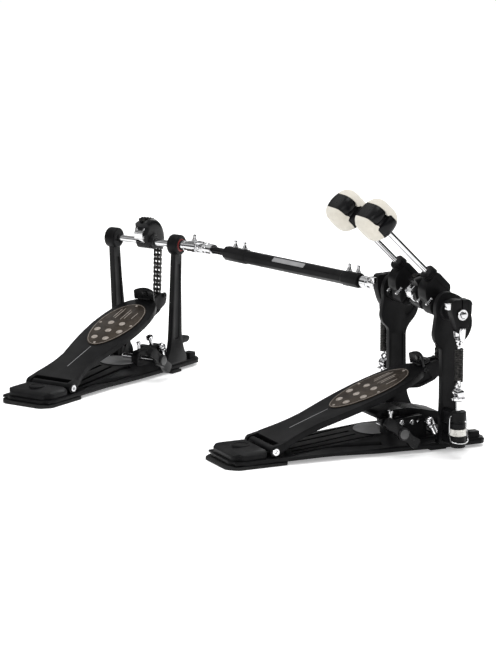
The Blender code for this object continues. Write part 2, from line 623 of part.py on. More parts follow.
def coil_spring():
    """Close-wound pull spring in the frame of its lower end."""
    steps = 8
    sides = 5
    rise = (SPRING_TOP - SPRING_BOTTOM) - 2 * SPRING_WIRE
    maker = bmesh.new()
    rows = []
    for step in range(SPRING_TURNS * steps + 1):
        angle = 2 * pi * step / steps
        centre = Vector((0, 0, SPRING_WIRE + rise * step / (SPRING_TURNS * steps)))
        outward = Vector((cos(angle), sin(angle), 0))
        row = []
        for corner in range(sides):
            roll = 2 * pi * corner / sides
            offset = outward * (SPRING_RADIUS + SPRING_WIRE * cos(roll)) + Vector((0, 0,
                                                                                   SPRING_WIRE * sin(roll)))
            row.append(maker.verts.new(centre + offset))
        rows.append(row)
    for lower, upper in zip(rows, rows[1:]):
        for corner in range(sides):
            after = (corner + 1) % sides
            maker.faces.new((lower[corner], lower[after], upper[after], upper[corner]))
    maker.faces.new(rows[0])
    maker.faces.new(rows[-1])
    return object_from(maker)


def spring_rod():
    """Threaded rod with the swivel hook that holds the spring's lower end, in the housing's frame."""
    top = SPRING_BOTTOM - 0.0010
    rod_part = rod((0, 0, HOUSING_BOTTOM - 0.002), (0, 0, 0.0800), SPRING_ROD_RADIUS)
    barrel = rod((-0.0070, 0, 0.0800), (0.0070, 0, 0.0800), 0.0050, 12)
    hook = box((-0.0022, -0.0034, 0.0800), (0.0022, 0.0034, top))
    return joined(rod_part, barrel, hook)


def adjuster_nut():
    """Knurled nut in the housing's window, in the housing's frame."""
    teeth = 18
    radii = [NUT_RADIUS if step % 2 else NUT_RADIUS - 0.0006 for step in range(2 * teeth)]
    outline = [(radius * cos(pi * step / teeth), radius * sin(pi * step / teeth))
               for step, radius in enumerate(radii)]
    nut = prism(outline, NUT_BOTTOM, NUT_BOTTOM + NUT_HEIGHT)
    return cut(nut, rod((0, 0, 0), (0, 0, 0.08), SPRING_ROD_RADIUS + GAP))


def hoop_clamp_jaw():
    """Upper jaw of the hoop clamp in its pivot's frame: a ridged ramp, a barrel and a tail."""
    blade = prism([(-0.010, 0.004), (-0.008, -0.004), (0.040, -0.012), (0.060, -0.012), (0.060, -0.008),
                   (0.042, 0.004), (0.012, 0.014), (-0.006, 0.014)], -JAW_HALF_WIDTH, JAW_HALF_WIDTH, SIDE)
    ridges = [prism([(y, 0.0145 + (0.012 - y) * 0.333), (y + 0.0016, 0.0095 + (0.012 - y) * 0.333),
                     (y + 0.0032, 0.0145 + (0.012 - y) * 0.333)], -0.03, 0.03, SIDE)
              for y in (0.015, 0.020, 0.025, 0.030, 0.035)]
    blade = cut(blade, *ridges)
    tail = box((-0.010, WING_Y - JAW_PIVOT_Y - 0.008, 0.0060), (0.010, 0.0, 0.0100))
    pin = rod((-JAW_HALF_WIDTH - 0.012, 0, 0), (JAW_HALF_WIDTH + 0.012, 0, 0), HINGE_PIN_RADIUS, 12)
    return joined(blade, tail, pin)


# ---------------------------------------------------------------- pieces of the side unit
def side_post(side):
    """Upright with a round bearing boss, widening towards a spread foot."""
    middle = side * SIDE_POST_X
    outline = [(-0.0160, 0.0250), (-0.0200, BASE_DECK_TOP + GAP), (0.0300, BASE_DECK_TOP + GAP),
               (0.0300, 0.0220),
               (0.0150, 0.0500), (0.0125, 0.0900), (0.0095, 0.1300), (0.0075, AXLE_HEIGHT),
               (-0.0085, AXLE_HEIGHT),
               (-0.0095, 0.0500)]
    plate = prism(outline, middle - POST_HALF_THICKNESS, middle + POST_HALF_THICKNESS, SIDE)
    for vertex in plate.data.vertices:
        vertex.co.x -= side * SIDE_POST_LEAN * (1 - vertex.co.z / AXLE_HEIGHT)
    half = SIDE_BOSS_HALF_LENGTH
    boss = turned([(-half, SIDE_BOSS_RADIUS - 0.0015), (-half + 0.0015, SIDE_BOSS_RADIUS),
                   (half - 0.0015, SIDE_BOSS_RADIUS), (half, SIDE_BOSS_RADIUS - 0.0015)],
                  (middle, 0, AXLE_HEIGHT), (1, 0, 0), 20)
    bore = rod((middle - 0.03, 0, AXLE_HEIGHT), (middle + 0.03, 0, AXLE_HEIGHT), AXLE_RADIUS + GAP)
    return cut(joined(plate, boss), bore)


def side_axle():
    """Axle of the side unit with the drive shaft's hub and fork."""
    boss_face = SIDE_POST_X + SIDE_BOSS_HALF_LENGTH
    shaft = rod((-boss_face - 0.002, 0, 0), (boss_face + 0.012, 0, 0), AXLE_RADIUS)
    hub = rod((boss_face + GAP, 0, 0), (SIDE_JOINT_X - 0.0120, 0, 0), 0.0073)
    fork = yoke((SIDE_JOINT_X, 0, 0), (-1, 0, 0), (0, 0, 1))
    return joined(shaft, hub, fork)


# ---------------------------------------------------------------- drive shaft, in its own frame along x
def drive_rod(start, sign, inner_end):
    """Inner rod of the telescopic shaft with the fork at its outer end."""
    fork = yoke((start, 0, 0), (sign, 0, 0), (0, 1, 0))
    shaft = rod((start + sign * 0.014, 0, 0), (inner_end, 0, 0), ROD_RADIUS - 0.0010, 12)
    neck = turned([(0.0140, 0.0060), (0.0220, ROD_RADIUS), (0.0340, ROD_RADIUS + 0.0010)], (start, 0, 0),
                  (sign, 0, 0), 12)
    return joined(fork, shaft, neck)


def drive_tube(low, high):
    """Eight-sided outer tube with a raised collar at each end."""
    body = turned([(low + 0.020, TUBE_RADIUS), (high - 0.020, TUBE_RADIUS)], (0, 0, 0), (1, 0, 0), 8)
    collars = [rod((low, 0, 0), (low + 0.0220, 0, 0), TUBE_RADIUS + 0.0012, 12),
               rod((high - 0.0220, 0, 0), (high, 0, 0), TUBE_RADIUS + 0.0012, 12)]
    bore = rod((low - 0.01, 0, 0), (high + 0.01, 0, 0), ROD_RADIUS - 0.0010 + GAP, 12)
    return cut(joined(body, *collars), bore)


# ---------------------------------------------------------------- assembly
def unit(prefix, place, front_half_width):
    """The pieces that both units share, hung on their own empties; gives the floor and axle lines back."""
    floor = line(prefix + "_floor", None, place)
    for name, shape, finish_name in (("baseplate", baseplate(front_half_width), "black_powder_coat"),
                                     ("heel_pad", heel_pad(), "black_rubber"),
                                     ("front_foot", front_foot(), "black_rubber"),
                                     ("heel_plate", heel_plate(), "black_powder_coat"),
                                     ("hinge_pin", hinge_pin(), "chrome")):
        keep(prefix + "_" + name, shape, finish_name, floor)
    hinge = line(prefix + "_hinge_line", floor,
                 Matrix.Translation((0, -HINGE_BACK, HINGE_HEIGHT)) @ turn_about_x(BOARD_ANGLE))
    keep(prefix + "_footboard", footboard(), "black_powder_coat", hinge)
    keep(prefix + "_tread_plate", tread_plate(), "bronze_tread", hinge)
    keep(prefix + "_toe_stop", toe_stop(), "black_plastic", hinge)
    wing = line(prefix + "_wing_line", floor, Matrix.Translation((0, WING_Y, WING_Z)))
    screw = wing_screw()
    screw.data.transform(Matrix.Translation((0, -WING_Y, -WING_Z)))
    keep(prefix + "_wing_screw", screw, "black_powder_coat", wing)
    axle = line(prefix + "_axle_line", floor, Matrix.Translation((0, 0, AXLE_HEIGHT)))
    keep(prefix + "_cam", cam(), "black_plastic", axle)
    chain(prefix, axle)
    return floor, axle


def chain(prefix, axle):
    """The wrapped stretch, two short pieces that unroll, and the hanging run, each on its own pin's line."""
    first_free = 2 * LINKS_PER_PIECE
    stretches = [("chain_wrap", [chain_pin(n) for n in range(first_free + LINKS_STILL_WRAPPED,
                                                             first_free - 1, -1)])]
    for name, top in (("chain_upper", first_free), ("chain_lower", LINKS_PER_PIECE)):
        stretches.append((name, [chain_pin(top - n) for n in range(LINKS_PER_PIECE + 1)]))
    start = Vector(chain_pin(0))
    end = Vector((RUN_BOTTOM_Y, RUN_BOTTOM_Z - AXLE_HEIGHT))
    links = int((end - start).length / PITCH)
    stretches.append(("chain_run", [tuple(start.lerp(end, n / links)) for n in range(links + 1)]))
    for name, path in stretches:
        pin = Vector((0.0, 0.0)) if name == "chain_wrap" else Vector(path[0])
        moved = [tuple(Vector(point) - pin) for point in path]
        empty = line(prefix + "_" + name + "_line", axle, Matrix.Translation((0, pin[0], pin[1])))
        keep(prefix + "_" + name, ribbon(moved, CHAIN_HALF_WIDTH), "black_chain_steel", empty)


def build_main():
    """Main unit: two posts, two half axles, two beaters, two springs and the hoop clamp."""
    floor, axle = unit("main", Matrix.Identity(4), MAIN_FRONT_HALF_WIDTH)
    other = line("left_axle_line", floor, Matrix.Translation((0, 0, AXLE_HEIGHT)))
    keep("right_axle", right_axle(), "chrome", axle)
    keep("left_axle", left_axle(), "chrome", other)
    keep("left_joint_cross", joint_cross((1, 0, 0), (0, 0, 1)), "chrome",
         line("left_cross_line", other, Matrix.Translation((MAIN_JOINT_X, 0, 0))))
    pivot = line("jaw_line", floor, Matrix.Translation((0, JAW_PIVOT_Y, JAW_PIVOT_Z)))
    keep("hoop_clamp_jaw", hoop_clamp_jaw(), "black_powder_coat", pivot)
    for name, side, half in (("right", 1, axle), ("left", -1, other)):
        keep("main_post_" + name, main_post(side), "black_powder_coat", floor)
        lean = line(name + "_beater_line", half, turn_about_x(BEATER_LEAN))
        middle = side * BEATER_X
        keep(name + "_beater_holder", beater_holder(middle), "black_powder_coat", lean)
        keep(name + "_beater_shaft", beater_shaft(middle), "chrome", lean)
        keep(name + "_beater_core", beater_core(middle), "black_plastic", lean)
        keep(name + "_beater_felt", beater_felt(middle), "white_felt", lean)
        keep(name + "_rocker", rocker(side), "black_powder_coat", half)
        pin = line(name + "_link_line", half, Matrix.Translation((rocker_x(side), SPRING_Y,
                                                                  -ROCKER_PIN_DROP)))
        keep(name + "_spring_link", spring_link(), "chrome", pin)
        well = line(name + "_spring_line", floor, Matrix.Translation((rocker_x(side), SPRING_Y, 0)))
        keep(name + "_spring_rod", spring_rod(), "chrome", well)
        keep(name + "_adjuster_nut", adjuster_nut(), "knurled_nickel", well)
        foot = line(name + "_spring_foot", floor,
                    Matrix.Translation((rocker_x(side), SPRING_Y, SPRING_BOTTOM)))
        keep(name + "_spring", coil_spring(), "black_chain_steel", foot)


def build_side():
    """Side unit: two plain posts and one axle that turns the drive shaft."""
    place = Matrix.Translation((SIDE_X, SIDE_Y, 0)) @ Matrix.Rotation(SIDE_YAW, 4, "Z")
    floor, axle = unit("side", place, SIDE_FRONT_HALF_WIDTH)
    keep("side_axle", side_axle(), "chrome", axle)
    keep("right_joint_cross", joint_cross((-1, 0, 0), (0, 0, 1)), "chrome",
         line("right_cross_line", axle, Matrix.Translation((SIDE_JOINT_X, 0, 0))))
    for name, side in (("right", 1), ("left", -1)):
        keep("side_post_" + name, side_post(side), "black_powder_coat", floor)


def build_drive_shaft():
    """Telescopic shaft between the two universal joints, its x axis from the side unit to the main unit."""
    start = Vector((SIDE_X + SIDE_JOINT_X * cos(SIDE_YAW), SIDE_Y + SIDE_JOINT_X * sin(SIDE_YAW),
                    AXLE_HEIGHT))
    end = Vector((MAIN_JOINT_X, 0, AXLE_HEIGHT))
    heading = atan2(end.y - start.y, end.x - start.x)
    length = (end - start).length
    shaft_line = line("drive_shaft_line", None, Matrix.Translation(start) @ Matrix.Rotation(heading, 4, "Z"))
    keep("drive_tube", drive_tube(TUBE_END_INSET, length - TUBE_END_INSET), "black_powder_coat", shaft_line)
    middle = length / 2
    keep("drive_rod_left", drive_rod(0, 1, middle - 0.030), "chrome", shaft_line)
    keep("drive_rod_right", drive_rod(length, -1, middle + 0.030), "chrome", shaft_line)


build_main()
build_side()
build_drive_shaft()
bpy.context.view_layer.update()
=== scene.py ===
"""Looks of the double bass drum pedal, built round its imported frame. Metres, +Z up, +Y towards the drum."""
import json
from math import asin, atan2, cos, pi, radians, sin

import bpy
from mathutils import Matrix, Vector

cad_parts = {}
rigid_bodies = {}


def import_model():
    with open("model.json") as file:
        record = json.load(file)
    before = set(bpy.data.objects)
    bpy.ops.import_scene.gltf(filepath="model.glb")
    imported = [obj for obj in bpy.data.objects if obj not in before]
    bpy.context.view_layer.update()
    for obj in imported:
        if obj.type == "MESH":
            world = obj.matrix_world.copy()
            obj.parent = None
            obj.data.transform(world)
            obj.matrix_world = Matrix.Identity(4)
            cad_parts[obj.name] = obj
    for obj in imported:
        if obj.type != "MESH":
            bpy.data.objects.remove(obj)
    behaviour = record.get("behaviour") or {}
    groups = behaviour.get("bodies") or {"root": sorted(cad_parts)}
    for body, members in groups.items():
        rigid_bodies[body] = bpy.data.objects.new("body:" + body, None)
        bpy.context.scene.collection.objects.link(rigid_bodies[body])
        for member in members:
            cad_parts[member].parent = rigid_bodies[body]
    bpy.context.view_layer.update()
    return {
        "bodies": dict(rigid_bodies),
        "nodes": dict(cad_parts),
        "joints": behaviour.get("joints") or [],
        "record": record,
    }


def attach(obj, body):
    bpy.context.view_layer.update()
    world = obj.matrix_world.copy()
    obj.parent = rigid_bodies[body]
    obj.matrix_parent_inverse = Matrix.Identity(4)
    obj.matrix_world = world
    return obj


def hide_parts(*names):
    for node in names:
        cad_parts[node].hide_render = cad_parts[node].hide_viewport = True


for leftover in list(bpy.data.objects):
    bpy.data.objects.remove(leftover, do_unlink=True)
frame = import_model()

# --------------------------------------------------
# Studio: a pale seamless floor under one broad soft light from above, with a weaker light on the
# player's side. The camera stands low on the player's right, with a long lens.
VIEW_AZIMUTH = radians(64.2)
VIEW_ELEVATION = radians(11.76)
LENS_MM = 158.7
CAMERA_PLACE = (3.29, -1.84, 0.93)

camera = bpy.data.objects.new("camera", bpy.data.cameras.new("camera"))
bpy.context.scene.collection.objects.link(camera)
camera.data.lens = LENS_MM
camera.data.sensor_width = 36
camera.data.clip_start = 0.05
camera.location = CAMERA_PLACE
backward = Vector((sin(VIEW_AZIMUTH) * cos(VIEW_ELEVATION), -cos(VIEW_AZIMUTH) * cos(VIEW_ELEVATION),
                   sin(VIEW_ELEVATION)))
camera.rotation_euler = (-backward).to_track_quat("-Z", "Y").to_euler()
bpy.context.scene.camera = camera


def soft_light(name, place, aim, size, power):
    """Square area light at a place, aimed at a point."""
    data = bpy.data.lights.new(name, "AREA")
    data.size = size
    data.energy = power
    lamp = bpy.data.objects.new(name, data)
    bpy.context.scene.collection.objects.link(lamp)
    lamp.location = place
    lamp.rotation_euler = (Vector(aim) - Vector(place)).to_track_quat("-Z", "Y").to_euler()


soft_light("overhead_softbox", (-0.3, 0.2, 2.6), (-0.25, -0.1, 0.1), 2.2, 40)
soft_light("player_side_softbox", (1.6, -2.4, 1.5), (-0.2, -0.1, 0.15), 1.2, 15)
soft_light("rear_softbox", (-1.9, 1.8, 1.4), (-0.2, -0.1, 0.15), 1.0, 10)

world = bpy.data.worlds.new("studio")
world.use_nodes = True
sky = world.node_tree
white = sky.nodes["Background"]
white.inputs["Color"].default_value = (1.0, 1.0, 1.0, 1.0)
white.inputs["Strength"].default_value = 0.72
room = sky.nodes.new("ShaderNodeBackground")
room.inputs["Strength"].default_value = 0.7
height = sky.nodes.new("ShaderNodeSeparateXYZ")
walls = sky.nodes.new("ShaderNodeValToRGB")
walls.color_ramp.elements[0].position = 0.02
walls.color_ramp.elements[0].color = (0.035, 0.035, 0.037, 1.0)
walls.color_ramp.elements[1].position = 1.0
walls.color_ramp.elements[1].color = (0.55, 0.55, 0.55, 1.0)
for position, level in ((0.3, 0.05), (0.42, 0.85), (0.62, 1.0), (0.74, 0.22)):
    step = walls.color_ramp.elements.new(position)
    step.color = (level, level, level, 1.0)
direction = sky.nodes.new("ShaderNodeTexCoord")
rays = sky.nodes.new("ShaderNodeLightPath")
mixing = sky.nodes.new("ShaderNodeMixShader")
sky.links.new(direction.outputs["Generated"], height.inputs["Vector"])
sky.links.new(height.outputs["Z"], walls.inputs["Fac"])
sky.links.new(walls.outputs["Color"], room.inputs["Color"])
sky.links.new(rays.outputs["Is Glossy Ray"], mixing.inputs["Fac"])
sky.links.new(white.outputs["Background"], mixing.inputs[1])
sky.links.new(room.outputs["Background"], mixing.inputs[2])
sky.links.new(mixing.outputs["Shader"], sky.nodes["World Output"].inputs["Surface"])
bpy.context.scene.world = world
bpy.context.scene.view_settings.view_transform = "Standard"

bpy.ops.mesh.primitive_plane_add(size=30)
floor = bpy.context.object
floor.name = "studio_floor"
paper = bpy.data.materials.new("seamless_paper")
paper.use_nodes = True
paper.node_tree.nodes["Principled BSDF"].inputs["Base Color"].default_value = (0.97, 0.97, 0.97, 1.0)
paper.node_tree.nodes["Principled BSDF"].inputs["Roughness"].default_value = 0.9
paper.node_tree.nodes["Principled BSDF"].inputs["Emission Color"].default_value = (1.0, 1.0, 1.0, 1.0)
paper.node_tree.nodes["Principled BSDF"].inputs["Emission Strength"].default_value = 0.32
floor.data.materials.append(paper)

# --------------------------------------------------
# Base castings, one under each board: an aluminium wedge rising from the heel to a flat deck, with
# sloped flanks, long grooves that save weight, and small blocks and ears that hold the hoop clamp.
POWDER_BLACK = (0.0045, 0.0045, 0.005)


def new_material(name, colour, roughness, metallic=0.0):
    """Principled material; gives the material, its node tree and its shader."""
    material = bpy.data.materials.new(name)
    material.use_nodes = True
    tree = material.node_tree
    shader = tree.nodes["Principled BSDF"]
    shader.inputs["Base Color"].default_value = (*colour, 1.0)
    shader.inputs["Roughness"].default_value = roughness
    shader.inputs["Metallic"].default_value = metallic
    return material, tree, shader


def noise(tree, scale, detail=3.0, roughness=0.5, stretch=(1, 1, 1)):
    """Noise on object coordinates, stretched along the axes."""
    coordinates = tree.nodes.new("ShaderNodeTexCoord")
    mapping = tree.nodes.new("ShaderNodeMapping")
    mapping.inputs["Scale"].default_value = stretch
    texture = tree.nodes.new("ShaderNodeTexNoise")
    texture.inputs["Scale"].default_value = scale
    texture.inputs["Detail"].default_value = detail
    texture.inputs["Roughness"].default_value = roughness
    tree.links.new(coordinates.outputs["Object"], mapping.inputs["Vector"])
    tree.links.new(mapping.outputs["Vector"], texture.inputs["Vector"])
    return texture.outputs["Fac"]


def spread(tree, value, low, high):
    """A value from 0.3 to 0.7, as noise gives it, spread over a new range."""
    spreader = tree.nodes.new("ShaderNodeMapRange")
    spreader.inputs["From Min"].default_value = 0.3
    spreader.inputs["From Max"].default_value = 0.7
    spreader.inputs["To Min"].default_value = low
    spreader.inputs["To Max"].default_value = high
    tree.links.new(value, spreader.inputs["Value"])
    return spreader.outputs["Result"]


def bump(tree, shader, value, distance, strength=1.0):
    """Raises the surface by a value."""
    raiser = tree.nodes.new("ShaderNodeBump")
    raiser.inputs["Distance"].default_value = distance
    raiser.inputs["Strength"].default_value = strength
    tree.links.new(value, raiser.inputs["Height"])
    tree.links.new(raiser.outputs["Normal"], shader.inputs["Normal"])


def tint(tree, shader, value, dark, light):
    """Colours the surface between two tones by a value."""
    ramp = tree.nodes.new("ShaderNodeValToRGB")
    ramp.color_ramp.elements[0].position = 0.35
    ramp.color_ramp.elements[0].color = (*dark, 1.0)
    ramp.color_ramp.elements[1].position = 0.65
    ramp.color_ramp.elements[1].color = (*light, 1.0)
    tree.links.new(value, ramp.inputs["Fac"])
    tree.links.new(ramp.outputs["Color"], shader.inputs["Base Color"])


def powder_coat():
    """Satin black powder coat with its fine orange peel."""
    material, tree, shader = new_material("black_powder_coat", POWDER_BLACK, 0.42)
    tint(tree, shader, noise(tree, 60, 4), (0.0032, 0.0032, 0.0036), (0.0062, 0.0062, 0.0067))
    tree.links.new(spread(tree, noise(tree, 35, 3), 0.34, 0.47), shader.inputs["Roughness"])
    shader.inputs["Specular IOR Level"].default_value = 0.11
    bump(tree, shader, noise(tree, 1600, 2), 0.00006, 0.6)
    return material


COAT = powder_coat()
# Facings of an outline: UPRIGHT is (x, y) thick along z, PROFILE (y, z) along x, ACROSS (x, z) along y.
UPRIGHT = Matrix.Identity(4)
PROFILE = Matrix(((0, 0, 1, 0), (1, 0, 0, 0), (0, 1, 0, 0),
                  (0, 0, 0, 1)))      # outline (y, z), thick along x
ACROSS = Matrix(((1, 0, 0, 0), (0, 0, -1, 0), (0, 1, 0, 0),
                 (0, 0, 0, 1)))      # outline (x, z), thick along y
side_rest = next(mount for mount in frame["record"]["mounts"] if mount["name"] == "side_floor_rest")
side_turn = next(joint for joint in frame["record"]["behaviour"]["joints"]
                 if joint["name"] == "side_axle_turn")
SIDE_YAW = atan2(-side_turn["axis"][1], -side_turn["axis"][0])
SIDE_PLACE = Matrix.Translation(side_rest["pos_m"]) @ Matrix.Rotation(SIDE_YAW, 4, "Z")
UNITS = (("main", Matrix.Identity(4)), ("side", SIDE_PLACE))
BASE_HEEL = -0.29
BASE_FRONT = 0.068
BASE_UNDERSIDE = 0.0043
BASE_SKIRT_TOP = 0.0095
BASE_DECK_TOP = 0.012
BASE_HALF_WIDTH = {"main": 0.065, "side": 0.052}
HEEL_HALF_WIDTH = 0.0415
CLAMP_PIVOT = (-0.018, 0.036)
WING_PLACE = (-0.062, 0.0315)
GROOVE_DEPTH = 0.0026


def only(piece):
    """Makes one piece the whole selection."""
    bpy.ops.object.select_all(action="DESELECT")
    piece.select_set(True)
    bpy.context.view_layer.objects.active = piece


def plate(name, outline, low, high, facing=UPRIGHT):
    """A slab: a circle with a vertex for each corner of the outline, laid on it and pushed up."""
    bpy.ops.object.select_all(action="DESELECT")
    bpy.ops.mesh.primitive_circle_add(vertices=len(outline), radius=0.01, fill_type="NGON")
    piece = bpy.context.object
    piece.name = name
    for vertex, (u, v) in zip(piece.data.vertices, outline):
        vertex.co = (u, v, low)
    bpy.ops.object.mode_set(mode="EDIT")
    bpy.ops.mesh.select_all(action="SELECT")
    bpy.ops.mesh.extrude_region_move(TRANSFORM_OT_translate={"value": (0, 0, high - low)})
    bpy.ops.mesh.select_all(action="SELECT")
    bpy.ops.mesh.normals_make_consistent(inside=False)
    bpy.ops.object.mode_set(mode="OBJECT")
    piece.data.transform(facing)
    return piece


def block(name, low, high):
    """A rectangular block between two corners."""
    return plate(name, [(low[0], low[1]), (high[0], low[1]), (high[0], high[1]), (low[0], high[1])],
                 low[2], high[2])


def eased(outline, ease, steps=4):
    """The outline with each corner eased into a short curve."""
    result = []
    for index, corner in enumerate(outline):
        corner = Vector(corner)
        before = Vector(outline[index - 1]) - corner
        after = Vector(outline[(index + 1) % len(outline)]) - corner
        reach = min(ease, 0.45 * before.length, 0.45 * after.length)
        start = corner + before.normalized() * reach
        end = corner + after.normalized() * reach
        for step in range(steps + 1):
            share = step / steps
            result.append((1 - share) ** 2 * start + 2 * share * (1 - share) * corner + share ** 2 * end)
    return result


def mirrored(right):
    """A half outline of (x, y) points and its mirror image, as one loop."""
    return right + [(-x, y) for x, y in reversed(right)]


def arc(centre, radius, start, end, steps):
    """Points on an arc, angles in degrees."""
    turn = [radians(start + (end - start) * step / steps) for step in range(steps + 1)]
    return [(centre[0] + radius * cos(angle), centre[1] + radius * sin(angle)) for angle in turn]


def worked(piece, operation, *tools):
    """Joins tools to a piece, cuts them from it, or keeps what they share."""
    for tool in tools:
        only(piece)
        step = piece.modifiers.new("step", "BOOLEAN")
        step.operation = operation
        step.object = tool
        step.solver = "EXACT"
        bpy.ops.object.modifier_apply(modifier="step")
        bpy.data.objects.remove(tool, do_unlink=True)
    return piece


def softened(piece, width, segments=2, angle=30):
    """Rounds the edges sharper than an angle."""
    only(piece)
    edge = piece.modifiers.new("edge", "BEVEL")
    edge.width = width
    edge.segments = segments
    edge.limit_method = "ANGLE"
    edge.angle_limit = radians(angle)
    bpy.ops.object.modifier_apply(modifier="edge")
    return piece


def lathe(name, profile, start, direction, steps=32):
    """A turned piece: a disc drawn out ring by ring; the profile is (distance along, radius)."""
    bpy.ops.object.select_all(action="DESELECT")
    distance, radius = profile[0]
    bpy.ops.mesh.primitive_circle_add(vertices=steps, radius=radius, fill_type="NGON")
    piece = bpy.context.object
    piece.name = name
    bpy.ops.object.mode_set(mode="EDIT")
    bpy.ops.mesh.select_all(action="SELECT")
    bpy.ops.transform.translate(value=(0, 0, distance))
    for further, wider in profile[1:]:
        bpy.ops.mesh.extrude_region_move(TRANSFORM_OT_translate={"value": (0, 0, further - distance)})
        bpy.ops.transform.resize(value=(wider / radius, wider / radius, 1), center_override=(0, 0, further))
        distance, radius = further, wider
    bpy.ops.mesh.select_all(action="SELECT")
    bpy.ops.mesh.normals_make_consistent(inside=False)
    bpy.ops.object.mode_set(mode="OBJECT")
    along = Vector(direction).normalized()
    piece.data.transform(Matrix.Translation(start) @ along.to_track_quat("Z", "X").to_matrix().to_4x4())
    return piece


def rod(name, start, end, radius, steps=32):
    """A round bar between two points."""
    reach = Vector(end) - Vector(start)
    return lathe(name, [(0, radius), (reach.length, radius)], start, reach, steps)


def merged(name, *pieces):
    """Several pieces joined into one object, each still its own closed shell."""
    bpy.ops.object.select_all(action="DESELECT")
    for piece in pieces:
        piece.select_set(True)
    bpy.context.view_layer.objects.active = pieces[0]
    bpy.ops.object.join()
    pieces[0].name = name
    return pieces[0]


def again(piece, place, name=None):
    """A copy with its own mesh, moved by a matrix; a mirror image is turned right side out."""
    copy = piece.copy()
    copy.data = piece.data.copy()
    copy.name = name or piece.name
    bpy.context.scene.collection.objects.link(copy)
    copy.data.transform(place)
    if place.determinant() < 0:
        copy.data.flip_normals()
    return copy


def fitted(piece, name, finish, body, slot, *nodes):
    """Smooths a finished piece, gives it its finish and hangs it on its body."""
    only(piece)
    piece.name = name
    bpy.ops.object.shade_smooth_by_angle(angle=radians(32))
    piece.data.materials.clear()
    piece.data.materials.append(finish)
    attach(piece, body)
    if nodes:
        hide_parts(*nodes)
    return piece


def fitted_in_both(piece, name, finish, body, slot, *nodes):
    """The same piece in both units; body and nodes are named without the unit."""
    for unit, place in UNITS:
        copy = again(piece, place)
        fitted(copy, unit + "_" + name, finish, body.replace("unit", unit), slot,
               *[unit + "_" + node for node in nodes])
    bpy.data.objects.remove(piece, do_unlink=True)


def groove(start, end):
    """Cutter for a long groove between two points (x, y, z) on the surface."""
    (x0, y0, z0), (x1, y1, z1) = start, end
    tool = plate("groove", [(y0, z0 - GROOVE_DEPTH), (y1, z1 - GROOVE_DEPTH), (y1, 0.06), (y0, 0.06)],
                 -0.0026, 0.0026, PROFILE)
    for vertex in tool.data.vertices:
        vertex.co.x += x0 + (x1 - x0) * (vertex.co.y - y0) / (y1 - y0)
    return tool


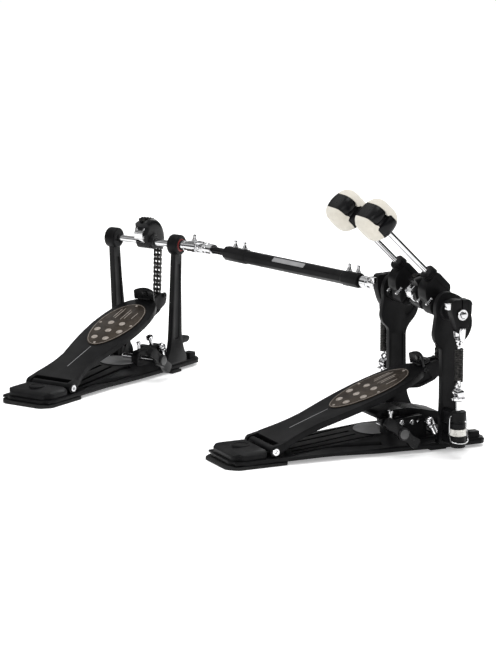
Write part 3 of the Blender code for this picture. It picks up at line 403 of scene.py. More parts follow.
def base_casting(half_width):
    """One base, for a unit of the given half width in front."""
    spread = half_width - HEEL_HALF_WIDTH
    plan = eased(mirrored([(0.0285, BASE_HEEL), (HEEL_HALF_WIDTH, BASE_HEEL + 0.014),
                           (HEEL_HALF_WIDTH, -0.152),
                           (HEEL_HALF_WIDTH + 0.6 * spread, -0.088),
                           (HEEL_HALF_WIDTH + 0.74 * spread, -0.05),
                           (half_width, 0.004), (half_width, BASE_FRONT - 0.007),
                           (half_width - 0.007, BASE_FRONT)]), 0.006)
    skirt = plate("skirt", plan, BASE_UNDERSIDE, BASE_SKIRT_TOP)
    rise = plate("rise", eased([(BASE_HEEL + 0.003, 0.006), (BASE_FRONT - 0.003, 0.006),
                                (BASE_FRONT - 0.003, BASE_DECK_TOP), (-0.028, BASE_DECK_TOP),
                                (-0.038, 0.024),
                                (-0.066, 0.0245), (-0.215, 0.0105), (BASE_HEEL + 0.003, 0.01)], 0.003),
                 -0.08, 0.08, PROFILE)
    foot = HEEL_HALF_WIDTH - 0.0015
    toe = half_width - 0.003
    flank = plate("flank", [(-foot, 0.0), (foot, 0.0), (foot, 0.01), (foot - 0.014, 0.0235),
                            (foot - 0.019, 0.03),
                            (-foot + 0.019, 0.03), (-foot + 0.014, 0.0235), (-foot, 0.01)],
                  -BASE_FRONT, -BASE_HEEL, ACROSS)
    for vertex in flank.data.vertices:
        share = min(1.0, max(0.0, (vertex.co.y + 0.152) / 0.102))
        vertex.co.x *= 1 + share * (toe / foot - 1)
    rise = worked(rise, "INTERSECT", flank)
    deck = plate("deck", eased(mirrored([(half_width - 0.0045, -0.034), (half_width - 0.0015, 0.004),
                                         (half_width - 0.0015, BASE_FRONT - 0.0075),
                                         (half_width - 0.0075, BASE_FRONT - 0.0015)]), 0.004),
                 0.006, BASE_DECK_TOP)
    casting = worked(skirt, "UNION", rise, deck)
    grooves = []
    for side in (-1, 1):
        grooves.append(groove((side * 0.011, -0.196, 0.0122), (side * 0.009, -0.098, 0.0215)))
        grooves.append(groove((side * 0.0235, -0.199, 0.012), (side * 0.0315, -0.084, 0.0205)))
        grooves.append(groove((side * 0.0345, -0.201, 0.0112), (side * 0.0465, -0.08, 0.014)))
    casting = worked(casting, "DIFFERENCE", *grooves)
    pocket = plate("pocket", eased([(-0.024, -0.026), (0.024, -0.026), (0.026, 0.016), (-0.026, 0.016)],
                                   0.004),
                   0.0105, 0.05)
    casting = worked(casting, "DIFFERENCE", pocket)
    ear = eased([(WING_PLACE[0] - 0.009, 0.02), (WING_PLACE[0] - 0.009, WING_PLACE[1] + 0.004),
                 (WING_PLACE[0] - 0.004, WING_PLACE[1] + 0.009),
                 (CLAMP_PIVOT[0] + 0.005, CLAMP_PIVOT[1] + 0.008),
                 (CLAMP_PIVOT[0] + 0.011, CLAMP_PIVOT[1] + 0.002), (CLAMP_PIVOT[0] + 0.011, 0.011)], 0.004)
    bracket = plate("bracket", ear, 0.025, 0.0355, PROFILE)
    small_ear = plate("small_ear", eased([(CLAMP_PIVOT[0] - 0.011, 0.01), (CLAMP_PIVOT[0] - 0.007, 0.044),
                                          (CLAMP_PIVOT[0] + 0.007, 0.044),
                                          (CLAMP_PIVOT[0] + 0.011, 0.01)], 0.004),
                      -0.03, -0.025, PROFILE)
    spurs = [block("spur", (x - 0.006, 0.044, 0.008), (x + 0.006, 0.058, 0.0205))
             for x in (-half_width + 0.01, half_width - 0.01)]
    ribs = [block("rib", (x - 0.0012, -0.02, 0.011), (x + 0.0012, 0.06, 0.0135)) for x in (-0.036, 0.036)]
    casting = worked(casting, "UNION", bracket, small_ear, *spurs, *ribs)
    casting = worked(casting, "DIFFERENCE",
                     rod("wing_hole", (0, *WING_PLACE), (0.1, *WING_PLACE), 0.0043),
                     rod("pivot_hole", (-0.1, *CLAMP_PIVOT), (0.1, *CLAMP_PIVOT), 0.0033))
    return softened(casting, 0.0007, 2, 35)


for unit, place in UNITS:
    casting = base_casting(BASE_HALF_WIDTH[unit])
    casting.data.transform(place)
    fitted(casting, unit + "_base_casting", COAT, "root", "black_powder_coat", unit + "_baseplate")

# --------------------------------------------------
# Badge on each base: a plain oval of satin silver sheet, glued on the wedge where the player looks.
def silver_sheet():
    """Satin silver sheet, brushed and faintly marked."""
    material, tree, shader = new_material("satin_silver", (0.33, 0.33, 0.335), 0.42, 0.35)
    tint(tree, shader, noise(tree, 40, 3), (0.3, 0.3, 0.305), (0.37, 0.37, 0.375))
    tree.links.new(spread(tree, noise(tree, 150, 3), 0.36, 0.5), shader.inputs["Roughness"])
    return material


SILVER = silver_sheet()
badge = plate("badge", [(0.0285 * cos(radians(a)), 0.023 * sin(radians(a))) for a in range(0, 360, 6)],
              0.0, 0.0006)
badge = softened(badge, 0.0002, 2, 40)
badge.data.transform(Matrix.Translation((0, -0.07, 0.0241)) @ Matrix.Rotation(radians(3.5), 4, "X"))
fitted_in_both(badge, "badge", SILVER, "root", "chrome")

# --------------------------------------------------
# Rubber under the pedal: a sheet a little larger than the heel, with a ribbed rim, and a bar across
# the deck straight below the axle. Both are moulded and stuck on.


def rubber():
    """Moulded black rubber with a dull, grained skin."""
    material, tree, shader = new_material("black_rubber", (0.008, 0.008, 0.008), 0.72)
    shader.inputs["Specular IOR Level"].default_value = 0.2
    tint(tree, shader, noise(tree, 80, 4), (0.009, 0.009, 0.009), (0.017, 0.017, 0.017))
    bump(tree, shader, noise(tree, 900, 3), 0.00015, 0.7)
    return material


RUBBER = rubber()
PAD_HEIGHT = 0.004
pad = plate("pad", eased(mirrored([(0.031, -0.2965), (0.0438, -0.283), (0.0438, -0.216), (0.0405, -0.212)]),
                         0.005),
            0.0, PAD_HEIGHT)
pad = softened(pad, 0.0006, 2, 40)
notches = [plate("notch", [(side * 0.0431, y), (side * 0.045, y - 0.0007), (side * 0.045, y + 0.0007)],
                 -0.001, PAD_HEIGHT + 0.001) for side in (-1, 1) for y in (-0.274, -0.265, -0.256, -0.247,
                                                                           -0.238, -0.229)]
pad = worked(pad, "DIFFERENCE", *notches)
fitted_in_both(pad, "heel_rubber", RUBBER, "root", "black_rubber", "heel_pad")
bar = softened(block("bar", (-0.056, -0.012, 0.0), (0.056, 0.012, PAD_HEIGHT)), 0.0012, 3, 40)
fitted_in_both(bar, "foot_rubber", RUBBER, "root", "black_rubber", "front_foot")

# --------------------------------------------------
# Heel plates: a domed aluminium cap with chamfered, ridged corners and a plain round boss on top. The
# hinge's middle knuckle is cast with it; a slot parts it from the board.
HINGE = (-0.229, 0.018)
CAP_FLOOR = 0.0103
cap_plan = eased(mirrored([(0.0285, -0.2865), (0.0388, -0.2735), (0.0392, -0.2405)]), 0.004)
cap = plate("cap", cap_plan, CAP_FLOOR, 0.03)
crown = eased([(-0.3, 0.0), (-0.29, CAP_FLOOR + 0.0035), (-0.28, 0.019), (-0.264, 0.0222),
               (-0.248, 0.0226),
               (-0.239, 0.0205), (-0.236, 0.018), (-0.236, 0.0)], 0.006, 6)
cap = worked(cap, "INTERSECT", plate("crown", crown, -0.05, 0.05, PROFILE))
dome = eased([(-0.05, 0.0), (0.05, 0.0), (0.04, 0.0165), (0.03, 0.0215), (0.012, 0.0232),
              (-0.012, 0.0232),
              (-0.03, 0.0215), (-0.04, 0.0165)], 0.01, 6)
cap = worked(cap, "INTERSECT", plate("dome", dome, 0.2, 0.32, ACROSS))
corner_cuts = []
for side in (-1, 1):
    for step in range(5):
        along = 0.2 + 0.15 * step
        middle = (side * (0.0285 + 0.0103 * along), -0.2865 + 0.013 * along)
        cutter = rod("ridge", (0, -0.03, 0), (0, 0.03, 0), 0.00045, 8)
        cutter.data.transform(Matrix.Translation((*middle, 0.0155)) @ Matrix.Rotation(side * radians(38), 4,
                                                                                      "Z")
                              @ Matrix.Rotation(radians(60), 4, "X"))
        corner_cuts.append(cutter)
cap = softened(cap, 0.001, 3, 30)
cap = worked(cap, "DIFFERENCE", *corner_cuts)
boss = lathe("boss", [(0, 0.0118), (0.002, 0.0118), (0.0026, 0.0112), (0.0026, 0.0098), (0.002, 0.0094),
                      (0.002, 0.003), (0.0022, 0.0002)], (0, -0.26, 0.0206), (0, 0, 1), 40)
knuckle = lathe("knuckle", [(-0.0303, 0.0054), (-0.0297, 0.006), (0.0297, 0.006), (0.0303, 0.0054)],
                (0, *HINGE), (1, 0, 0))
web = block("web", (-0.0298, HINGE[0] - 0.013, CAP_FLOOR), (0.0298, HINGE[0], HINGE[1] - 0.001))
cap = worked(cap, "UNION", web, knuckle, boss)
cap = worked(cap, "DIFFERENCE", rod("bore", (-0.05, *HINGE), (0.05, *HINGE), 0.0033))
fitted_in_both(cap, "heel_cap", COAT, "root", "black_powder_coat", "heel_plate")

# --------------------------------------------------
# Hinge pins: chromed steel through board and heel plate, with a countersunk socket in each head.


def chrome():
    """Bright chrome plate with faint handling marks."""
    material, tree, shader = new_material("chrome", (0.7, 0.7, 0.71), 0.1, 1.0)
    tree.links.new(spread(tree, noise(tree, 90, 4), 0.05, 0.16), shader.inputs["Roughness"])
    tint(tree, shader, noise(tree, 25, 3), (0.62, 0.62, 0.63), (0.78, 0.78, 0.79))
    return material


CHROME = chrome()
pin = lathe("pin", [(-0.041, 0.0044), (-0.0405, 0.0049), (-0.039, 0.0049), (-0.0388, 0.003),
                    (0.0388, 0.003),
                    (0.039, 0.0049), (0.0405, 0.0049), (0.041, 0.0044)], (0, *HINGE), (1, 0, 0))
sockets = [lathe("socket", [(0.0392, 0.0021), (0.0404, 0.0021), (0.0412, 0.003)], (0, *HINGE), (side, 0, 0),
                 6)
           for side in (-1, 1)]
pin = worked(pin, "DIFFERENCE", *sockets)
fitted_in_both(pin, "hinge_bolt", CHROME, "root", "chrome", "hinge_pin")

# --------------------------------------------------
# Footboards: hourglass castings with a rounded top edge over a slightly narrower skirt, two hinge lugs
# at the heel, and a slotted neck at the toe that takes the chain's last link.


def black_plastic():
    """Moulded black plastic, smooth with a slight sheen."""
    material, tree, shader = new_material("black_plastic", (0.006, 0.006, 0.0065), 0.28)
    shader.inputs["Specular IOR Level"].default_value = 0.16
    tree.links.new(spread(tree, noise(tree, 50, 3), 0.2, 0.36), shader.inputs["Roughness"])
    bump(tree, shader, noise(tree, 700, 2), 0.00004, 0.5)
    return material


PLASTIC = black_plastic()
BOARD_TILT = radians(19.0)
BOARD_FRAME = Matrix.Translation((0, *HINGE)) @ Matrix.Rotation(BOARD_TILT, 4, "X")
BOARD_TOP = 0.0058
BOARD_BOTTOM = -0.0032
BOARD_END = 0.24
CHAIN_PIN_ALONG = 0.2731
NECK_HALF_WIDTH = 0.0125


def board_half(margin):
    """Half outline of the board (x, distance from the hinge), drawn in by a margin."""
    waist, broad = 0.03, 0.041
    half = [(0.0385, 0.01), (0.0372, 0.02), (0.033, 0.036), (waist + 0.0006, 0.05), (waist, 0.06),
            (waist, 0.074)]
    half += [(waist + (broad - waist) * sin(pi * share / 2), 0.075 + 0.09 * share)
             for share in (0.15, 0.3, 0.45, 0.6, 0.75, 0.9, 1.0)]
    half += [(broad - 0.026 * (1 - cos(radians(angle))), 0.165 + 0.075 * sin(radians(angle)))
             for angle in (12, 24, 36, 47, 57, 66, 73, 79)]
    half += [(NECK_HALF_WIDTH, BOARD_END + 0.004)]
    return [(x - margin, u) for x, u in half]


skin = plate("skin", mirrored(board_half(0.0)), -0.0004, BOARD_TOP)
skirt = plate("skirt", mirrored(board_half(0.0011)), BOARD_BOTTOM, 0.002)
lugs = [plate("lug", arc((0, 0), 0.0072, 90, 270, 14) + [(0.018, BOARD_BOTTOM + 0.0008),
                                                         (0.018, BOARD_TOP - 0.0008)],
              *sorted((side * 0.031, side * 0.0385)), PROFILE) for side in (-1, 1)]
neck = plate("neck", eased([(0.19, BOARD_BOTTOM + 0.001), (0.23, -0.019), (0.254, -0.0186),
                            (0.26, -0.016),
                            (0.272, -0.015), (0.2785, -0.006), (0.2775, 0.0), (0.27, 0.0036),
                            (0.26, 0.0054), (0.19, 0.0054)], 0.006, 5),
             -NECK_HALF_WIDTH, NECK_HALF_WIDTH, PROFILE)
hollows = [plate("hollow", eased([(0.212, -0.004), (0.234, -0.0155), (0.252, -0.015),
                                  (0.248, -0.004)], 0.003),
                 *sorted((side * 0.0108, side * 0.02)), PROFILE) for side in (-1, 1)]
neck = worked(neck, "DIFFERENCE", *hollows)
board = worked(skin, "UNION", skirt, *lugs, neck)
board = worked(board, "DIFFERENCE", rod("bore", (-0.05, 0, 0), (0.05, 0, 0), 0.0033),
               block("chain_slot", (-0.007, 0.26, -0.05), (0.007, 0.3, 0.05)),
               block("heel_slot", (-0.0312, -0.02, -0.02), (0.0312, 0.0108, 0.02)))
board = softened(board, 0.0009, 3, 40)
board.data.transform(BOARD_FRAME)
fitted_in_both(board, "foot_board", COAT, "unit_footboard", "black_powder_coat", "footboard")

pins = merged("pins", *[lathe("head", [(NECK_HALF_WIDTH - 0.001, 0.0042), (NECK_HALF_WIDTH + 0.0015, 0.0042),
                                       (NECK_HALF_WIDTH + 0.0024, 0.003), (NECK_HALF_WIDTH + 0.0024, 0.0018),
                                       (NECK_HALF_WIDTH + 0.0014, 0.0016)],
                              (0, along, depth), (side, 0, 0), 24)
                        for side in (-1, 1) for along,
                        depth in ((CHAIN_PIN_ALONG, -0.001), (0.245, 0.0005))])
pins.data.transform(BOARD_FRAME)
fitted_in_both(pins, "neck_bolts", PLASTIC, "unit_footboard", "black_plastic")

line = plate("line", eased([(-0.0005, 0.043), (0.0005, 0.043), (0.0005, 0.102), (-0.0005, 0.102)], 0.0004, 3),
             BOARD_TOP - 0.0003, BOARD_TOP + 0.0002)
line.data.transform(BOARD_FRAME)
fitted_in_both(line, "silver_line", SILVER, "unit_footboard", "chrome")

# --------------------------------------------------
# Tread plates: oval sheets of dark bronze-coloured aluminium with a pale rim line, seven domed pale
# grips, four small rivets, and a few raised pale bars towards the toe.
OVAL_MIDDLE = 0.166
OVAL_HALF_LENGTH = 0.06
OVAL_HALF_WIDTH = 0.0335
OVAL_LIFT = BOARD_TOP + 0.0003


def bronze():
    """Dark bronze anodised sheet, finely grained and a little worn."""
    material, tree, shader = new_material("bronze_tread", (0.06, 0.042, 0.028), 0.42, 0.55)
    tint(tree, shader, noise(tree, 45, 6, 0.65), (0.026, 0.018, 0.012), (0.056, 0.041, 0.028))
    tree.links.new(spread(tree, noise(tree, 120, 4), 0.34, 0.52), shader.inputs["Roughness"])
    bump(tree, shader, noise(tree, 2200, 2), 0.00008, 0.7)
    return material


def pale_grip():
    """Pale translucent grip compound, slightly soiled."""
    material, tree, shader = new_material("pale_grip", (0.3, 0.27, 0.24), 0.45)
    tint(tree, shader, noise(tree, 300, 4), (0.22, 0.19, 0.165), (0.38, 0.34, 0.3))
    tree.links.new(spread(tree, noise(tree, 200, 3), 0.36, 0.55), shader.inputs["Roughness"])
    bump(tree, shader, noise(tree, 1500, 2), 0.00005, 0.5)
    return material


BRONZE = bronze()
GRIP = pale_grip()


def oval(margin):
    """The tread plate's outline, drawn in by a margin; it is a little broader towards the toe."""
    points = []
    for step in range(72):
        angle = 2 * pi * step / 72
        across = (OVAL_HALF_WIDTH * (1 + 0.1 * sin(angle)) * 0.97 - margin) * cos(angle)
        points.append((across, OVAL_MIDDLE + (OVAL_HALF_LENGTH - margin) * sin(angle)))
    return points


sheet = softened(plate("sheet", oval(0.0), OVAL_LIFT, OVAL_LIFT + 0.0011), 0.0004, 2, 40)
sheet.data.transform(BOARD_FRAME)
fitted_in_both(sheet, "tread_sheet", BRONZE, "unit_footboard", "bronze_tread", "tread_plate")
rim = worked(plate("rim", oval(0.0012), OVAL_LIFT + 0.0008, OVAL_LIFT + 0.0013), "DIFFERENCE",
             plate("inside", oval(0.0018), 0.0, 0.02))
bars = [softened(plate("bar", eased([(x - 0.0006, low), (x + 0.0006, low), (x + 0.0006, high),
                                     (x - 0.0006, high)],
                                    0.0005, 3), OVAL_LIFT + 0.0008, OVAL_LIFT + 0.0014), 0.0002, 1, 40)
        for x, low, high in ((-0.0165, 0.184, 0.208), (-0.012, 0.181, 0.211), (-0.0015, 0.18, 0.209),
                             (0.003, 0.183, 0.205), (0.015, 0.185, 0.202))]
rivets = [lathe("rivet", [(0.0008, 0.0021), (0.0013, 0.002), (0.0017, 0.0012), (0.0018, 0.0002)],
                (x, along, OVAL_LIFT), (0, 0, 1), 20)
          for x, along in ((0, 0.1115), (0, 0.221), (-0.027, 0.166), (0.027, 0.166))]
trim = merged("trim", rim, *bars, *rivets)
trim.data.transform(BOARD_FRAME)
fitted_in_both(trim, "tread_trim", GRIP, "unit_footboard", "bronze_tread")
grips = []
for row, columns in ((-1, (-0.5, 0.5)), (0, (-1, 0, 1)), (1, (-0.5, 0.5))):
    for column in columns:
        grips.append(lathe("grip", [(0.0008, 0.0048), (0.0014, 0.0047), (0.0019, 0.004), (0.0022, 0.0028),
                                    (0.0023, 0.0014), (0.0023, 0.0002)],
                           (column * 0.0195, 0.147 + row * 0.0214, OVAL_LIFT), (0, 0, 1), 28))
grips = merged("grips", *grips)
grips.data.transform(BOARD_FRAME)
fitted_in_both(grips, "tread_grips", GRIP, "unit_footboard", "bronze_tread")

# --------------------------------------------------
# Toe stops: a curved wall of moulded plastic at the end of each board, thicker at its root, bolted down
# through a short foot behind it.
stop_low = OVAL_LIFT
outer = arc((0, BOARD_END - 0.032), 0.04, 114.4, 65.6, 20)
inner = arc((0, BOARD_END - 0.036), 0.0405, 64.0, 116.0, 20)
wall = plate("wall", outer + inner, stop_low, stop_low + 0.0165)
for vertex in wall.data.vertices:
    climb = (vertex.co.z - stop_low) / 0.0165
    vertex.co.z -= climb * 9.0 * vertex.co.x ** 2
    vertex.co.y += 0.002 * climb
wall = softened(wall, 0.0014, 4, 35)
foot = softened(plate("foot", eased([(-0.011, BOARD_END), (0.011, BOARD_END), (0.011, BOARD_END + 0.016),
                                     (0.008, BOARD_END + 0.019), (-0.008, BOARD_END + 0.019),
                                     (-0.011, BOARD_END + 0.016)], 0.003), stop_low, stop_low + 0.0036),
                                     0.0008, 2, 40)
gusset = plate("gusset", [(BOARD_END + 0.004, stop_low + 0.002), (BOARD_END + 0.017, stop_low + 0.002),
                          (BOARD_END + 0.008, stop_low + 0.009), (BOARD_END + 0.004, stop_low + 0.013)],
               -0.0045, 0.0045, PROFILE)
gusset = softened(gusset, 0.0012, 2, 40)
stop = worked(wall, "UNION", foot, gusset)
stop.data.transform(BOARD_FRAME)
fitted_in_both(stop, "toe_wall", PLASTIC, "unit_footboard", "black_plastic", "toe_stop")

# --------------------------------------------------
# Cams: one on each axle, a cast sector whose round rim carries the chain, with a domed flank beside it,
# a hub below, and a chromed clamp on the player's side that holds the chain's last link.
AXLE_HEIGHT = 0.19
AXLE_RADIUS = 0.00475
AXLE_FRAME = Matrix.Translation((0, 0, AXLE_HEIGHT))
CHAIN_RADIUS = 0.0325
CHAIN_HALF_DEPTH = 0.0027
rim_radius = CHAIN_RADIUS - CHAIN_HALF_DEPTH - 0.0003
disc = lathe("cam", [(-0.0095, rim_radius - 0.003), (-0.0087, rim_radius), (0.0067, rim_radius),
                     (0.007, rim_radius + 0.0008), (0.0074, 0.033), (0.0088, 0.0335), (0.011, 0.0325),
                     (0.013, 0.03), (0.014, 0.025), (0.0142, 0.018)], (0, 0, 0), (1, 0, 0), 72)
sector = eased(arc((0, 0), 0.045, -24, 116, 10)
               + [(-0.01, 0.0222), (-0.0148, 0.0118), (-0.012, 0.003), (-0.003, -0.008)], 0.003)
disc = worked(disc, "INTERSECT", plate("sector", sector, -0.02, 0.02, PROFILE))
hub = lathe("hub", [(-0.0095, 0.0098), (-0.0088, 0.0105), (0.0168, 0.0105), (0.0178, 0.0095)],
            (0, 0, 0), (1, 0, 0), 48)
disc = worked(disc, "UNION", hub)
disc = worked(disc, "DIFFERENCE", rod("bore", (-0.05, 0, 0), (0.05, 0, 0), AXLE_RADIUS + 0.0002))
disc = softened(disc, 0.0006, 2, 35)
disc.data.transform(AXLE_FRAME)
clamp_bars = [((-0.0165, 0.0128), (-0.002, 0.0262), 0.0019), ((-0.0165, 0.014), (-0.014, 0.0055), 0.0017),
              ((-0.0145, 0.006), (-0.001, -0.0078), 0.0017)]
clamp_parts = []
for (y0, z0), (y1, z1), half in clamp_bars:
    along = Vector((y1 - y0, z1 - z0)).normalized()
    across = Vector((-along[1], along[0])) * half
    corners = [Vector((y0, z0)) - across, Vector((y1, z1)) - across, Vector((y1, z1)) + across,
               Vector((y0, z0)) + across]
    bar = plate("bar", eased([tuple(corner) for corner in corners], 0.0012), -0.0075, 0.0075, PROFILE)
    frame_cut = plate("frame_cut", [tuple(Vector((y0, z0)).lerp(Vector((y1, z1)), share) + across * push)
                                    for share, push in ((0.25, 0.3), (0.75, 0.3), (0.75, 3.0), (0.25, 3.0))],
                      -0.0045, 0.0045, PROFILE)
    clamp_parts.append(softened(worked(bar, "DIFFERENCE", frame_cut), 0.0005, 2, 40))
clamp_parts += [softened(lathe("screw", [(-0.0088, 0.003), (0.0088, 0.003)], (0, y, z), (1, 0, 0), 6),
                         0.0005, 2, 40)
                for y, z in ((-0.0002, 0.0262), (-0.0128, 0.0068))]
cam_clamp = merged("cam_clamp", *clamp_parts)
cam_clamp.data.transform(AXLE_FRAME)
for unit, place in UNITS:
    body = "right_beater" if unit == "main" else "side_axle"
    fitted(again(disc, place), unit + "_cam_sector", PLASTIC, body, "black_plastic", unit + "_cam")
    fitted(again(cam_clamp, place), unit + "_cam_clamp", CHROME, body, "chrome")
bpy.data.objects.remove(disc, do_unlink=True)
bpy.data.objects.remove(cam_clamp, do_unlink=True)

# --------------------------------------------------
# Chains: blackened double-strand roller chain. One outer and one inner link are made and repeated; the
# wrapped stretch turns with its cam and the rest hangs in the short runs that unroll after it.


def chain_steel():
    """Blackened steel, rubbed brighter in places and lightly oiled."""
    material, tree, shader = new_material("black_chain_steel", (0.03, 0.029, 0.029), 0.34, 0.85)
    tint(tree, shader, noise(tree, 260, 4), (0.018, 0.018, 0.018), (0.07, 0.067, 0.064))
    tree.links.new(spread(tree, noise(tree, 300, 3), 0.24, 0.46), shader.inputs["Roughness"])
    return material


CHAIN_STEEL = chain_steel()
PITCH = 0.00635
LINKS = {"chain_wrap": (9, 4), "chain_upper": (4, 2), "chain_lower": (2, 0)}
RUN_END = (0.029, 0.10745 - AXLE_HEIGHT)
RUN_LINKS = 13


def link(plates, rolled):
    """A link from its pin at the origin to the next pin one pitch up y, with plates at the given places."""
    side = arc((0, 0), 0.0026, 100, 260, 5) + [(PITCH / 2, -0.0019)] + arc((PITCH, 0), 0.0026, -80, 80, 5)
    side += [(PITCH / 2, 0.0019)]
    parts = [plate("plate", side, x - 0.00035, x + 0.00035, PROFILE) for x in plates]
    if rolled:
        parts += [lathe("roller", [(x - 0.0016, 0.0018), (x - 0.0014, 0.002), (x + 0.0014, 0.002),
                                   (x + 0.0016, 0.0018)],
                        (0, along, 0), (1, 0, 0), 12) for x in (-0.0028, 0.0028) for along in (0, PITCH)]
    else:
        parts += [lathe("pin", [(-0.0064, 0.0008), (-0.0061, 0.0011), (0.0061, 0.0011), (0.0064, 0.0008)],
                        (0, along, 0), (1, 0, 0), 10) for along in (0, PITCH)]
    return merged("link", *parts)


outer_link = link((-0.0056, 0.0, 0.0056), False)
inner_link = link((-0.0048, -0.0008, 0.0008, 0.0048), True)


def chain_pin(number):
    """The place (y, z) of a chain pin round the cam, number 0 where the chain leaves it."""
    angle = 2 * asin(PITCH / 2 / CHAIN_RADIUS) * number
    return Vector((CHAIN_RADIUS * cos(angle), CHAIN_RADIUS * sin(angle)))


def stretch(pins):
    """Links laid from pin to pin, outer and inner by turns."""
    laid = []
    for index, (start, end) in enumerate(zip(pins, pins[1:])):
        heading = atan2(end[1] - start[1], end[0] - start[0])
        place = AXLE_FRAME @ Matrix.Translation((0, start[0], start[1])) @ Matrix.Rotation(heading, 4, "X")
        laid.append(again(outer_link if index % 2 else inner_link, place))
    return merged("stretch", *laid)


stretches = {name: [chain_pin(number) for number in range(first, last - 1, -1)] for name,
             (first, last) in LINKS.items()}
run_start, run_end = chain_pin(0), Vector(RUN_END)
stretches["chain_run"] = [run_start.lerp(run_end, number / RUN_LINKS) for number in range(RUN_LINKS + 1)]
for name, pins in stretches.items():
    laid = stretch(pins)
    for unit, place in UNITS:
        body = unit + "_" + name
        if name == "chain_wrap":
            body = "right_beater" if unit == "main" else "side_axle"
        fitted(again(laid, place), unit + "_" + name + "_links", CHAIN_STEEL, body, "black_chain_steel",
               unit + "_" + name)
    bpy.data.objects.remove(laid, do_unlink=True)
for pattern in (outer_link, inner_link):
    bpy.data.objects.remove(pattern, do_unlink=True)

# --------------------------------------------------
# Main posts: flat aluminium uprights with a leaf-shaped head round the bearing, a long recess down the
# shank, a foot curved forwards and an arm outside that holds the spring's housing.
POST_X = 0.071
ROCKER_X = {1: 0.1055, -1: -0.0955}
HOUSING_TOP = 0.0625
HOUSING_BOTTOM = 0.015
HOUSING_RADIUS = 0.0105
NUT_BOTTOM, NUT_TOP = 0.03, 0.04


def main_post(side):
    """The right (1) or left (-1) post with its bearing boss and foot."""
    middle = side * POST_X
    heel = -0.022 if side < 0 else -0.01
    outline = [(0.035, 0.0123), (0.035, 0.024), (0.027, 0.033), (0.0205, 0.048), (0.0182, 0.07),
               (0.0172, 0.134), (0.021, 0.142), (0.032, 0.154), (0.0362, 0.164), (0.0365, 0.174),
               (0.033, 0.188), (0.024, 0.202), (0.012, 0.21), (-0.001, 0.2138), (-0.011, 0.21),
               (-0.0165, 0.2), (-0.0175, 0.19), (-0.0162, 0.182), (-0.018, 0.17), (-0.02, 0.157),
               (-0.0165, 0.147), (-0.008, 0.14), (-0.0075, 0.07), (-0.0085, 0.045),
               (heel + 0.002, 0.03),
               (heel, 0.022), (heel, 0.0123)]
    post = plate("post", eased(outline, 0.006), middle - 0.004, middle + 0.004, PROFILE)
    low, high = sorted((middle - side * 0.012, middle + side * 0.003))
    foot = plate("foot", eased([(low, heel + 0.001), (high, heel + 0.001), (high, 0.034), (low, 0.034)],
                               0.005),
                 0.0123, 0.0175)
    boss = lathe("boss", [(-0.009, 0.0122), (-0.008, 0.0135), (0.0085, 0.0135), (0.0098, 0.012)],
                 (middle, 0, AXLE_HEIGHT), (side, 0, 0), 48)
    post = worked(post, "UNION", foot, boss)
    recess = eased([(-0.0035, 0.056), (0.013, 0.056), (0.0125, 0.133), (-0.0032, 0.133)], 0.004)
    leaf = eased([(0.018, 0.153), (0.03, 0.164), (0.03, 0.173), (0.024, 0.185), (0.017, 0.176),
                  (0.013, 0.164)], 0.005)
    cuts = [plate("cut", shape, *sorted((middle + face * 0.003, middle + face * 0.007)), PROFILE)
            for face in (-1, 1) for shape in (recess, leaf)]
    post = worked(post, "DIFFERENCE", *cuts,
                  rod("bore", (middle - 0.03, 0, AXLE_HEIGHT), (middle + 0.03, 0, AXLE_HEIGHT), 0.005),
                  rod("screw_hole", (middle - 0.03, 0.026, 0.022), (middle + 0.03, 0.026, 0.022), 0.002,
                      20))
    return softened(post, 0.0009, 3, 35)


def housing(side):
    """Sleeve round the spring's rod with its arm, a wider cap and a window for the nut."""
    x = ROCKER_X[side]
    sleeve = lathe("sleeve", [(HOUSING_BOTTOM, 0.0092), (HOUSING_BOTTOM + 0.001, 0.0101), (0.047, 0.0101),
                              (0.0474, 0.009), (0.05, 0.009), (0.0504, HOUSING_RADIUS),
                              (0.0612, HOUSING_RADIUS),
                              (HOUSING_TOP, 0.0094)], (x, 0, 0), (0, 0, 1), 48)
    low, high = sorted((side * (POST_X + 0.003), x))
    arms = [softened(plate("arm", eased([(-0.0062, 0.016), (0.0062, 0.016), (0.0062, 0.0295),
                                         (-0.0062, 0.0295)],
                                        0.002), low, high, PROFILE), 0.0006, 2, 40),
            softened(plate("arm", eased([(-0.0062, 0.042), (0.0062, 0.042), (0.0062, 0.06),
                                         (-0.0062, 0.06)],
                                        0.002), low, high, PROFILE), 0.0006, 2, 40),
            plate("arm", [(-0.004, 0.029), (0.004, 0.029), (0.004, 0.043), (-0.004, 0.043)],
              *sorted((side * (POST_X + 0.003), x - side * 0.0108)), PROFILE)]
    sleeve = worked(sleeve, "UNION", *arms)
    return worked(sleeve, "DIFFERENCE",
                  lathe("window", [(NUT_BOTTOM - 0.0004, 0.0104), (NUT_TOP + 0.0004, 0.0104)], (x, 0, 0),
                        (0, 0, 1), 48),
                  rod("bore", (x, 0, 0), (x, 0, 0.08), 0.0031))


for side, hand in ((1, "right"), (-1, "left")):
    fitted(main_post(side), hand + "_main_upright", COAT, "root", "black_powder_coat", "main_post_" + hand)
    fitted(housing(side), hand + "_spring_housing", COAT, "root", "black_powder_coat")
post_screws = []
for side in (1, -1):
    middle = side * POST_X
    post_screws.append(lathe("screw", [(0.0035, 0.0036), (0.0058, 0.0036), (0.0066, 0.0028), (0.0066, 0.0016),
                                       (0.005, 0.0014)], (middle, 0.026, 0.022), (side, 0, 0), 24))
fitted(merged("post_screws", *post_screws), "post_foot_screws", CHROME, "root", "chrome")

# --------------------------------------------------
# Side posts: slimmer uprights that widen towards a spread foot and lean inwards a little, each with a
# round bearing boss; the inner side unit's boss has a thin dark red dust ring outside.
SIDE_POST_X = 0.056
BOSS_HALF_LENGTH = 0.0085
BOSS_RADIUS = 0.0148
SIDE_LEAN = 0.0085


